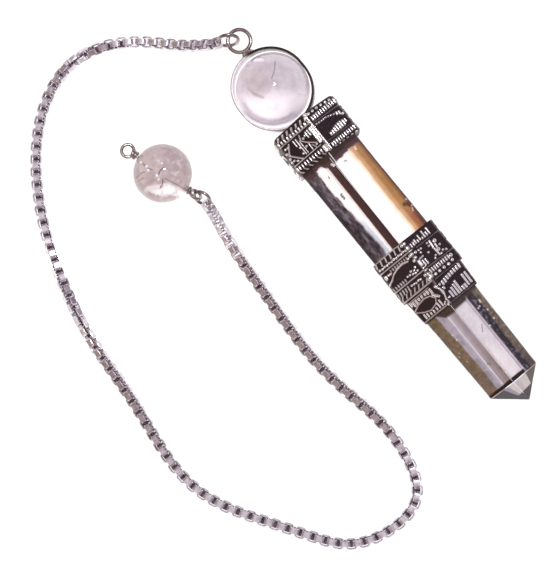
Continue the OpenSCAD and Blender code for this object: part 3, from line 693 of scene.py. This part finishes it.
FRAMES = list(chain_frames())
LV, LF = link_shape()
V = join([pos + LV[:, :1] * x + LV[:, 1:2] * y + LV[:, 2:] * z for pos, x, y, z in FRAMES])
F = join([LF + k * len(LV) for k in range(len(FRAMES))])
piece(add_mesh("chain_links", (V - MIDDLE) * MM, F, CHAIN, angle=40), "silver_wire", "chain")

# The shade on the table under the links that lie on it, seen through them
SHADE_HALF, SHADE_Z, LOW_LINK = 0.6, -0.01, 1.1
SHADE, nt, p = new_mat("shade")
put(p, {"Roughness": 1.0})
nt.links.new(ramp(nt, [(0.3, (0.13, 0.10, 0.12)), (0.7, (0.34, 0.28, 0.33))], noise(nt, 900.0, 3)),
             p.inputs["Base Color"])


def chain_shade():
    way = np.array([f[0] for f in FRAMES if f[0][2] < LOW_LINK])
    run = np.gradient(way[:, :2], axis=0)
    run /= np.linalg.norm(run, axis=1)[:, None]
    across = columns([-run[:, 1], run[:, 0], 0 * run[:, 0]]) * SHADE_HALF
    V = join([way - across, way + across])
    V[:, 2] = SHADE_Z
    n = len(way)
    F = [(i, i + 1, n + i + 1, n + i) for i in range(n - 1)]
    add_mesh("chain_shade", (V - MIDDLE) * MM, F, SHADE, smooth=False)


chain_shade()

# Bead, its wire and the jump rings; places on the wire are heights from the bead's middle towards the chain
BEAD_R, HOLE_R, WIRE_R = 4.825, 0.45, 0.275
BEAD_AT = np.array([-22.9, 7.8, 4.825])
WIRE_AXES = np.array([[0.945519, 0.325568, 0], [0.0565343, -0.164188, 0.984808], [0.320622, -0.931154, -0.173648]])
FREE_Z, FREE_R, CHAIN_Z, CHAIN_R = -6.7525, 1.025, 6.39, 0.975
WRAPS_FROM, WRAPS_TO, WRAP_R = -5.98, -5.14, 2 * WIRE_R - 0.05
LOOP_ARC, LOOP_TURN, RING_GAP = 345, np.radians(-50), 0.04


def on_wire(p):
    """Coordinates round the bead's wire, z towards the chain, to the scene's metres."""
    return (np.asarray(p, float) @ WIRE_AXES + BEAD_AT - MIDDLE) * MM


def sphere_shell(r, hole, rows, cols):
    """A ball with a straight hole along z."""
    a0 = math.asin(hole / r)
    prof = [(r * math.sin(a), r * math.cos(a)) for a in np.linspace(a0, math.pi - a0, rows)]
    rim = r * math.cos(a0)
    prof += [(hole - 0.01, z) for z in np.linspace(-rim, rim, 12)[1:-1]]
    return revolved(prof, cols), grid_faces(len(prof), cols, True)[:, ::-1]


def bead_wire():
    a, c, q = np.radians(np.linspace(0, LOOP_ARC, 44)), np.radians(np.linspace(0, 720, 60)), np.linspace(0, 1, 12)
    low, high = FREE_Z + FREE_R, CHAIN_Z - CHAIN_R
    out = CHAIN_R * np.sin(a)
    free = columns([FREE_R * np.sin(a), 0 * a, FREE_Z + FREE_R * np.cos(a)])
    loop = columns([out * math.cos(LOOP_TURN), out * math.sin(LOOP_TURN), CHAIN_Z - CHAIN_R * np.cos(a)])
    stem = columns([0 * q, 0 * q, low + (high - low) * q])
    turns = columns([WRAP_R * np.cos(c), WRAP_R * np.sin(c)])
    wraps = columns([turns, np.linspace(WRAPS_FROM, WRAPS_TO, 60)])
    ring = columns([turns[:30], np.full(30, BEAD_R + RING_GAP + WIRE_R)])
    VV, FF, count = [], [], 0
    for wire in (free, wraps, stem, loop, ring):
        V, F = tube(wire, WIRE_R)
        VV.append(V)
        FF += [tuple(i + count for i in f) for f in F]
        count += len(V)
    piece(add_mesh("bead_eye_wire", on_wire(join(VV)), FF, WIRE, angle=50), "silver_wire", "bead_wire")


V, F = sphere_shell(BEAD_R, HOLE_R, 72, 144)
piece(add_mesh("crystal_bead", on_wire(V), F, QUARTZ, angle=40), "crystal", "bead")
bead_wire()
# Name, node, middle radius, wire, two directions in the ring's plane, and its place
for name, node, r, w, x, y, at in (
        ("eye_link", "eye_jump_ring", 1.675, 0.6, (-0.839733, 0.446494, -0.309017),
         (-0.0958225, 0.438311, 0.893701), (-0.980888, 17.9757, 6.51907)),
        ("bead_link", "bead_jump_ring", 1.37, 0.56, (0.406737, -0.913545, 0),
         (-0.484105, -0.215538, -0.848048), (-20.3535, 0.731975, 3.71539))):
    V, F = torus(r, w)
    axes = np.array([x, y, np.cross(x, y)])
    piece(add_mesh(name, (V @ axes + at - MIDDLE) * MM, F[:, ::-1], WIRE), "silver_wire", node)

# Crystals
BEVEL, BREAK, SHOULDER_EDGE, PIN_HOLE = 0.09, 0.1, 0.07, 0.02
V, F = sphere_shell(BALL_R, PIN_HOLE, 96, 180)
V = V[:, [0, 2, 1]] + [BALL_X, 0, BALL_Z]
piece(add_mesh("ball", laid(V), F[:, ::-1], QUARTZ, angle=60), "crystal", "crystal_ball")


def hexagon(af, turn):
    """Corners of a hexagon, each cut by a narrow flat."""
    half = af / 2 * TAN30 - min(BEVEL, af / 8)
    return np.array([on_side(af / 2, u, math.radians(60 * i + turn)) for i in range(6) for u in (-half, half)])


def crystal(name, rings, turn, node):
    """A six-sided crystal through rings of (width, height), with broken edges and closed ends."""
    V = join([columns([hexagon(af, turn), np.full(12, z)]) for af, z in rings])
    F = [tuple(f) for f in grid_faces(len(rings), 12)[:, ::-1]]
    F += [tuple(range(12)), tuple(range(12 * len(rings) - 12, 12 * len(rings)))[::-1]]
    piece(add_mesh(name, laid(V), F, FACETED, smooth=False), "crystal", node)


slope = SHOULDER_AF / (SHOULDER - APEX)
crystal("barrel", [
    (BARREL_AF - 2 * BREAK, BARREL_TOP), (BARREL_AF, BARREL_TOP - BREAK), (BARREL_AF, BARREL_END + BREAK),
    (BARREL_AF - 2 * BREAK, BARREL_END)], BARREL_TURN, "crystal_barrel")
crystal("point", [
    (POINT_TOP_AF - 2 * BREAK, POINT_TOP), (POINT_TOP_AF, POINT_TOP - BREAK), (SHOULDER_AF, SHOULDER + SHOULDER_EDGE),
    (SHOULDER_AF - slope * SHOULDER_EDGE, SHOULDER - SHOULDER_EDGE), (0.12, APEX + 0.06), (0.06, APEX)],
    POINT_TURN, "crystal_point")


# Veils and painted light: thin layers just inside the crystals, drawn in the photograph's pixels; cloudiness, streaks
# and cracks of their own, but mostly painted reflections, refracted light, painted shade and painted highlights
FILM_GAIN, FILM_DEPTH, BALL_FILM_DEPTH, FILM_REACH, FILM_MARGIN = 0.85, 0.10, 0.035, 1.0, 0.03


def paint(t, coats):
    """Lays coats of red, green, blue and cover over each other; gives (n, 4), linear, with the cover last."""
    base = np.zeros((len(t), 4))
    for *color, cover in coats:
        cover = unit(cover + 0 * t)[:, None]
        total = cover + base[:, 3:] * (1 - cover)
        light = (np.array(color) / 255.0) ** 2.2 / FILM_GAIN
        rgb = (light * cover + base[:, :3] * base[:, 3:] * (1 - cover)) / np.maximum(total, 1e-6)
        base = columns([rgb, total])
    return base


def knots(s, *pairs):
    """A value that runs straight between the given (s, value) pairs."""
    return np.interp(s, [p[0] for p in pairs], [p[1] for p in pairs])


def barrel_film(t, s):
    rough = cloud(t, s, 9, 11)
    streak = cloud(t, s * 0.35, 2.2, 31)
    fine = cloud(t, s, 2.4, 41)
    ridge = knots(s, (130, -1.0), (240, -2.4))
    edge = knots(s, (135, -21.5), (160, -22), (180, -20.2), (240, -18.8)) + 3.2 * rough + 2 * fine * (s < 175)
    dark = fall(t, edge - 0.7, edge + 0.7)
    wide = knots(s, (138, 0), (165, 0.3), (205, -0.8), (240, -0.4)) + rough
    low = knots(t, (-34, 137), (-22.5, 138.5), (-21.5, 134.4), (-14, 134.2), (-10.5, 138.8), (0, 139.6),
                (17, 138.4), (18, 136.8), (34, 138))
    return paint(t, [
        # Near white all over, painted light from below; on the left side a dark and streaky painted reflection, a
        # white painted gleam, then a brown stripe of painted shade along the ridge
        (255, 251, 250, 0.85),
        (196, 206, 220, 0.8 * between(t, -18.5, -13.6, 1.6) * step(s, 185, 222)),
        (190, 192, 200, 0.6 * bell(t + 15.4, 0.6) * step(s, 195, 215)),
        (228, 205, 205, 0.7 * between(t, -11.6, ridge - 8, 0.9)),
        (96, 96, 98, dots(t, s, [(-15.6, 168.6), (-16.2, 171), (-15.8, 173.4)], 1.9)),
        (110, 100, 108, dots(t, s, [(-14.7, 146.8), (-14.5, 148.6)], 1.2)),
        (150, 146, 158, 0.9 * fall(t, edge + 0.5, edge + 2.4) * step(s, 180, 200)),
        (84, 73, 82, dark),
        (134, 124, 134, 3.6 * dark * unit(streak) * step(t, -34, -27)),
        (30, 24, 30, 3.4 * dark * unit(-streak - 0.02)),
        (158, 148, 156, 3.0 * dark * unit(fine - 0.14) * fall(s, 176, 200)),
        (110, 98, 104, 0.5 * dark * fall(s, 140, 156) * step(t, -31, -26)),
        (46, 38, 44, 0.6 * dark * fall(t, -33, -29.5)),
        (72, 48, 48, between(t, ridge - 8.1, ridge + 0.2, 0.5)),
        (78, 58, 60, 0.6 * between(t, ridge - 8.1, ridge, 0.5) * fall(s, 139, 165)),
        (56, 34, 38, 0.95 * between(t, ridge - 1.5, ridge + 0.1, 0.35)),
        # Right side: white painted light, then peach, amber and gold painted reflection
        (248, 226, 205, step(t, 15.2 + wide, 18.4 + wide)),
        (204, 165, 126, step(t, 17.6 + wide, 21.2 + wide)),
        (174, 131, 88, step(t, 22 + wide, 25 + wide)),
        (172, 130, 72, 0.7 * step(t, 24, 26) * between(s, 168, 212, 10)),
        (190, 118, 56, 0.4 * dots(t, s, [(27, 190), (28, 193), (26.4, 208), (28.4, 187)], 2.8)),
        (166, 98, 68, 0.8 * step(t, 22, 26) * step(s, 214, 234)),
        (140, 96, 74, 0.8 * step(t, 27.6, 30.6)),
        (86, 56, 50, 0.85 * step(t, 30.2, 32.2)),
        (100, 66, 54, 0.85 * step(t, 27, 30) * step(s, 224, 236)),
        (96, 58, 28, 0.95 * dots(t, s, [(27.2, 216), (29.6, 217.4), (30.6, 219.6)], 2.6)),
        (238, 226, 222, 0.9 * dots(t, s, [(31.4, 213), (30.6, 224), (29.6, 226), (31.8, 221.6)], 0.9)),
        (248, 236, 238, 0.8 * dots(t, s, [(24.4, 140.6), (24.2, 142.4)], 1.5)),
        (120, 116, 122, 0.9 * line(t, s, [(7.4, 144.6), (9.6, 145.6)], 0.9)),
        # The cap's painted shade, with a painted highlight down the ridge and a small one beside it
        (84, 60, 66, fall(s, low + 2.2 * fine - 0.4, low + 2.2 * fine + 1.6)),
        (58, 42, 34, 0.9 * fall(s, low - 6, low - 2)),
        (228, 222, 226, dots(t, s, [(-3.9, 139.4), (-3.2, 141.2)], 1.6)),
        (245, 238, 240, line(t, s, [(0.9, 124), (0.5, 139.4)], 0.55))])


def point_film(t, s):
    rough = cloud(t, s, 8, 51)
    streak = cloud(t, s * 0.35, 2.2, 71)
    fine = cloud(t, s, 2.4, 81)
    left, right = between(t, -9.7, -0.2, 0.4), step(t, 16.0, 16.6)
    lilac = fall(t, -11.6, -10.9)
    rim = knots(s, (323, -20.6), (345, -19), (370, -17.4), (418, -17.6)) + 2.4 * rough
    olive = fall(t, rim - 1.4, rim + 0.9)
    rim = knots(s, (323, 22.6), (350, 23.6), (380, 21.5), (418, 22.5)) + 1.6 * rough
    brown = step(t, rim - 0.6, rim + 1.2)
    low = knots(t, (-31, 323), (-19.6, 323), (-12.4, 330.6), (-1, 331.6), (0, 330), (14, 329.6), (16, 326), (31, 326))
    return paint(t, [
        (210, 201, 207, 0.9),
        (226, 217, 221, 0.75 * between(t, 0.6, 13, 1) * step(s, 368, 398)),
        (132, 124, 130, 0.9 * line(t, s, [(6.8, 364), (9.2, 360.4), (10.6, 358)], 0.65)),
        (196, 190, 196, 0.8 * line(t, s, [(3, 345), (2.4, 349), (4, 347.6)], 0.6)),
        # Left of the ridge, painted refracted light and reflection: a painted highlight on the ridge, grey, a white
        # line, a lilac band, then olive brown
        (160, 146, 153, left),
        (186, 178, 188, 0.8 * left * fall(t, -9.2, -4) * fall(s, 345, 400)),
        (142, 122, 118, 0.6 * left * step(s, 365, 395) * step(t, -7.5, -4)),
        (100, 86, 88, 0.8 * dots(t, s, [(-9.2, 392.6), (-7.4, 393.6), (-2.4, 403), (-1.8, 405)], 1.1)),
        (216, 208, 214, 0.8 * bell(t + 0.1, 0.6)),
        (172, 162, 174, lilac),
        (128, 130, 144, 0.6 * lilac * between(t, -17, -13.4, 1.2) * step(rough + 0.5, 0.45, 0.6)),
        (182, 176, 190, 1.6 * lilac * unit(streak) * step(t, -19, -16)),
        (122, 105, 88, olive),
        (104, 94, 66, 0.6 * olive * fall(s, 326, 350)),
        (126, 108, 104, 0.6 * olive * step(s, 385, 410)),
        (162, 118, 84, 2.0 * olive * unit(fine - 0.03)),
        (88, 80, 68, 1.8 * olive * unit(-fine)),
        (84, 76, 62, 0.7 * fall(t, -30.6, -28.6)),
        (235, 232, 235, 0.9 * dots(t, s, [(-18.3, 354.2), (-18.6, 348)], 0.95)),
        (196, 182, 170, 0.7 * dots(t, s, [(-27, 369.4), (-24, 377.6), (-24.6, 366)], 1.0)),
        # Right of it, painted reflection: a double line, a black mottled band, then olive brown
        (170, 154, 174, between(t, 13.2, 14.4, 0.3)),
        (96, 80, 96, 0.8 * between(t, 15.5, 16.4, 0.3)),
        (54, 46, 56, right),
        (124, 114, 132, 4.0 * right * unit(fine - 0.06)),
        (22, 18, 26, 1.6 * right * unit(-streak)),
        (112, 97, 90, brown),
        (158, 142, 128, 2.0 * brown * unit(fine - 0.02)),
        (62, 52, 50, 1.8 * brown * unit(-fine)),
        (84, 72, 68, 0.7 * brown * step(s, 395, 415)),
        (238, 226, 200, 0.9 * dots(t, s, [(24.2, 337.6), (24, 339.4), (24.8, 350), (24.2, 360.6)], 1.2)),
        (238, 232, 238, 0.9 * dots(t, s, [(20.6, 342.4), (16.4, 363.8), (18.4, 343.2)], 1.1)),
        # The neck's painted shade, and a dark line of painted shade along the shoulder
        (72, 56, 52, fall(s, low - 1.6, low + 1.4)),
        (60, 26, 24, fall(t, 14.4, 15.2) * step(s, 417.9, 418.5)),
        (34, 14, 14, between(t, -22, 15, 0.8) * step(s, 418.2, 418.8))])


def tip_film(t, s):
    # The tip's faces: painted refracted light and reflection, with the shoulder's dark line of painted shade at the
    # top
    d = s - 421
    return paint(t, [
        (188, 180, 178, 0.94),
        (178, 160, 172, 0.8 * between(t, 0.2, 4.6, 0.9)),
        (150, 134, 152, fall(t, -9.6 + 0.40 * d, -8.6 + 0.40 * d)),
        (44, 26, 34, fall(t, -15.4 + 0.58 * d, -13.6 + 0.58 * d)),
        (40, 30, 40, 0.7 * fall(t, -15.8 + 0.5 * d, -13.8 + 0.5 * d)
         * fall(t, -20 + 0.9 * d, -16 + 0.9 * d)),
        (84, 69, 71, step(t, 14.0 - 0.20 * d, 14.8 - 0.20 * d)),
        (50, 24, 42, step(s, 435.2 - 0.1 * t, 436.2 - 0.1 * t)),
        (36, 15, 15, between(t, -25, 15, 0.8) * fall(s, 420.4, 421.2))])


def side_film(name, film_fn, turn, top, bot, du=0.09, dv=0.12):
    """A layer under each of the two sides that face up, between rings of (width, height); du, dv are its steps."""
    n = max(2, int(abs(top[1] - bot[1]) / dv))
    w = np.linspace(-1, 1, int(top[0] * TAN30 / du) * 2 + 1)
    for hand, facing in (("left", 240), ("right", 300)):
        V = []
        for k in np.linspace(0, 1, n):
            a = (top[0] + (bot[0] - top[0]) * k) / 2 - FILM_DEPTH
            x, y = on_side(a, w * (a * TAN30 - FILM_MARGIN), math.radians(facing + turn))
            V.append(columns([x, y, np.full(len(w), top[1] + (bot[1] - top[1]) * k)]))
        V = laid(join(V))
        s, t = photo_st(V)
        F = grid_faces(n, len(w), False, False)
        piece(add_mesh(name + "_" + hand, V, F, VEIL_AND_PAINTED_LIGHT, film=film_fn(t, s)), "crystal")


side_film("barrel_veil_and_painted_light", barrel_film, BARREL_TURN, (BARREL_AF, -CAP_LEN + FILM_REACH),
          (BARREL_AF, MID_Z - FILM_REACH))
side_film("point_veil_and_painted_light", point_film, POINT_TURN, (POINT_TOP_AF - 0.2, NECK_Z - NECK_LEN + FILM_REACH),
          (SHOULDER_AF, SHOULDER + 0.04))
side_film("tip_painted_light", tip_film, POINT_TURN, (SHOULDER_AF - 0.18, SHOULDER - 0.08), (0.6, APEX + 0.26), 0.06, 0.06)


def ball_layer(name, centre, r, film_fn, rows=168, cols=240):
    """A layer all round, just under a ball's surface; centre in the scene's mm."""
    prof = [(r * math.sin(q), r * math.cos(q)) for q in np.linspace(0, math.radians(179.5), rows)]
    V = (revolved(prof, cols) + centre) * MM
    s, t = photo_st(V)
    piece(add_mesh(name, V, grid_faces(rows, cols), VEIL_AND_PAINTED_LIGHT, film=film_fn(t, s)), "crystal")


def ball_film(t, s):
    """Painted refracted light and shade: lilac grey above with a warm lens at the left, white below, grey painted
    shade inside the lower rim, a painted highlight near the top, and fine streaks.
    """
    rough = cloud(t, s, 14, 91)
    r = np.hypot(t + 2.4, s - 43)
    x, y = photo_xy(t, s)
    low = step(y + 6 * rough, 85, 106)
    lens = between(path(t, s, [(-14.8, 15), (-21.6, 24.6), (-20, 34.4), (-14.9, 44)]), -1, 1.2, 0.8)
    inside = step(t, -21.5, -19) * fall(t, -2, 9) * between(s, 15, 43, 5)
    return paint(t, [
        (200, 191, 198, 0.94 * (1 - low)),
        (246, 241, 245, 0.88 * low),
        (222, 210, 216, 0.7 * low * step(x, 280, 298)),
        (224, 212, 220, 0.8 * fall(r, 37, 33) * (1 - low) * fall(t, -4, 14)),
        (196, 184, 188, 0.75 * inside * (1 - low)),
        (172, 159, 160, 0.7 * lens * step(s, 22, 34)),
        # Grey painted shade inside the rim
        (176, 170, 184, 0.9 * between(r, 34.2, 36.6, 1.2) * fall(t, -6, 12) * step(s, 34, 52)),
        (186, 172, 184, 0.9 * between(r, 30.5, 34.4, 2.4) * fall(t, -6, 6) * step(s, 20, 42)),
        (148, 138, 156, 0.85 * line(t, s, [(16.8, 23.7), (12, 29), (8, 32), (3.8, 34.4)], 0.8)),
        (176, 166, 178, 0.6 * line(t, s, [(12.8, 22), (8, 26.4)], 0.7)),
        (166, 152, 170, 0.75 * line(t, s, [(-1, 8.2), (4, 7.8), (9.4, 10.6)], 0.9)),
        # A painted highlight
        (240, 233, 242, 0.75 * line(t, s, [(1.8, 10.5), (5, 11.6), (8.6, 14.8)], 1.7))])


def bead_film(t, s):
    """Cloudy all over, with painted shade towards the rim, a clear window low down and cracks."""
    n1, n2 = cloud(t, s, 13, 111), cloud(t, s, 3.4, 131)
    x, y = photo_xy(t, s)
    r = np.hypot(x - 162.9, y - 173.3)
    violet = step(y - 0.4 * x, 104, 112) * fall(y, 178, 186) * step(x, 160, 170)
    roof = np.maximum(176.5 + 0.53 * (x - 158.7), 184 - 0.1 * (x - 150))
    floor = fall(y - 195 - 0.15 * (x - 165) + 5 * n2, -2.0, 1.6)
    clear = step(y - roof + 2 * n2, -0.4, 3.4) * floor * step(x + y - 334, -1.0, 1.0) * fall(x, 184, 187)
    return paint(t, [
        (192, 176, 177, 0.97),
        (168, 150, 155, 2.2 * unit(n1) + 0.35 * violet),
        (208, 195, 197, 2.2 * unit(-n1)),
        (170, 150, 152, 1.4 * unit(n2 - 0.06)),
        (240, 236, 242, 1.6 * unit(-n2 - 0.08)),
        # Painted shade towards the rim
        (164, 148, 148, 0.55 * step(r, 20, 29) * fall(y, 186, 200)),
        (250, 246, 248, clear * (0.7 + 0.3 * step(x, 154, 166))),
        (206, 192, 194, clear * unit(3.2 * n2)),
        (214, 202, 204, 0.5 * clear * fall(x, 149, 156)),
        (134, 116, 112, 0.8 * line(x, y, [(165, 178.6), (176, 184), (187, 190)], 0.6)),
        (84, 76, 104, line(x, y, [(158.5, 174.5), (160.2, 170.6), (163.4, 167.6)], 0.7)),
        (110, 96, 106, line(x, y, [(162.8, 179), (162.6, 184.4), (160.4, 187.4)], 0.6)),
        (140, 116, 112, 0.8 * line(x, y, [(136, 178), (141, 173.4), (144.6, 172)], 0.6)),
        (140, 116, 112, 0.8 * line(x, y, [(138, 181.4), (144, 178)], 0.6)),
        (124, 112, 124, 0.8 * line(x, y, [(143, 163.6), (147.6, 168), (152, 170)], 0.9)),
        (255, 252, 255, dots(x, y, [(156.8, 175.2), (158.6, 179.4), (140.8, 162.4), (146.6, 166.4), (148.4, 170),
                                      (162, 163.4)], 1.3))])


ball_layer("ball_veil_and_painted_light", laid([[BALL_X, 0, BALL_Z]])[0] / MM, BALL_R - BALL_FILM_DEPTH, ball_film)
ball_layer("bead_veil_and_painted_light", BEAD_AT - MIDDLE, BEAD_R - BALL_FILM_DEPTH, bead_film)

for node, mat in (("crystal_ball", QUARTZ), ("crystal_barrel", FACETED), ("crystal_point", FACETED), ("bead", QUARTZ),
                  ("eye_jump_ring", WIRE), ("bead_jump_ring", WIRE), ("bead_wire", WIRE),
                  ("head_setting", BAND), ("middle_band", BAND), ("chain", CHAIN)):
    o = bpy.data.objects.get(node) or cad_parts[node]
    o.data.materials.clear()
    o.data.materials.append(mat)

# Table, lamp and camera, in metres
TABLE_HALF, TABLE_Z = 0.8, -0.00002
LAMP_AT, LAMP_TO, LAMP_SIZE, LAMP_POWER = (0.051, 0.021, 0.217), (0.01, 0.01, 0), 0.034, 0.11

m, nt, p = new_mat("table")
put(p, {"Base Color": (0.2, 0.2, 0.2, 1), "Emission Color": (1, 1, 1, 1), "Emission Strength": 1.0,
        "Roughness": 0.9, "Specular IOR Level": 0.0})
bump(nt, p, noise(nt, 40.0, 3), 0.02, 0.0001)
V = [(sx * TABLE_HALF, sy * TABLE_HALF, TABLE_Z) for sx, sy in ((-1, -1), (1, -1), (1, 1), (-1, 1))]
add_mesh("table_top", V, [(0, 1, 2, 3)], m, smooth=False)

cd = bpy.data.cameras.new("camera")
cd.sensor_fit = "AUTO"
cd.sensor_width = 36.0
cd.lens = PX * DIST / HEIGHT * cd.sensor_width
cd.clip_start, cd.clip_end = 0.01, 10
cam = add_object("camera", cd)
axes = columns([RIGHT, CAM_UP, BACK])
cam.matrix_world = Matrix([[*row, at * MM] for row, at in zip(axes, CAM_POS)] + [[0, 0, 0, 1]])
bpy.context.scene.camera = cam

ld = bpy.data.lights.new("key", "AREA")
ld.shape = "DISK"
ld.size = LAMP_SIZE
ld.energy = LAMP_POWER
lamp = add_object("key", ld)
lamp.location = LAMP_AT
lamp.rotation_euler = (Vector(LAMP_TO) - Vector(LAMP_AT)).to_track_quat("-Z", "Y").to_euler()

# The studio: a bright patch overhead, a darker ring round it that is warm on the left, and a pale horizon
w = bpy.data.worlds.new("studio")
bpy.context.scene.world = w
w.use_nodes = True
nt = w.node_tree
nt.nodes.clear()
out = nt.nodes.new("ShaderNodeOutputWorld")
bg = nt.nodes.new("ShaderNodeBackground")
xyz = nt.nodes.new("ShaderNodeSeparateXYZ")
nt.links.new(nt.nodes.new("ShaderNodeTexCoord").outputs["Generated"], xyz.inputs[0])


def ranged(src, low, high):
    n = nt.nodes.new("ShaderNodeMapRange")
    put(n, {"From Min": low, "From Max": high})
    nt.links.new(src, n.inputs["Value"])
    return n.outputs[0]


height = ranged(xyz.outputs["Z"], 0.0, 1.0)
warm = ramp(nt, [(0.0, (1.0, 0.97, 0.96)), (0.14, (0.84, 0.72, 0.65)), (0.30, (0.42, 0.31, 0.26)),
                 (0.70, (0.36, 0.28, 0.25)), (0.90, (0.58, 0.51, 0.50)), (1.0, (0.70, 0.66, 0.70))], height)
cold = ramp(nt, [(0.0, (1.0, 0.97, 1.0)), (0.14, (0.72, 0.68, 0.72)), (0.30, (0.14, 0.10, 0.18)),
                 (0.55, (0.30, 0.28, 0.31)), (0.80, (0.62, 0.59, 0.63)), (1.0, (0.70, 0.66, 0.70))], height)
nt.links.new(blend(nt, "MIX", ranged(xyz.outputs["X"], -0.35, 0.35), warm, cold), bg.inputs[0])
put(bg, {"Strength": 1.0})
nt.links.new(bg.outputs[0], out.inputs[0])
bpy.context.scene.view_settings.view_transform = "Standard"
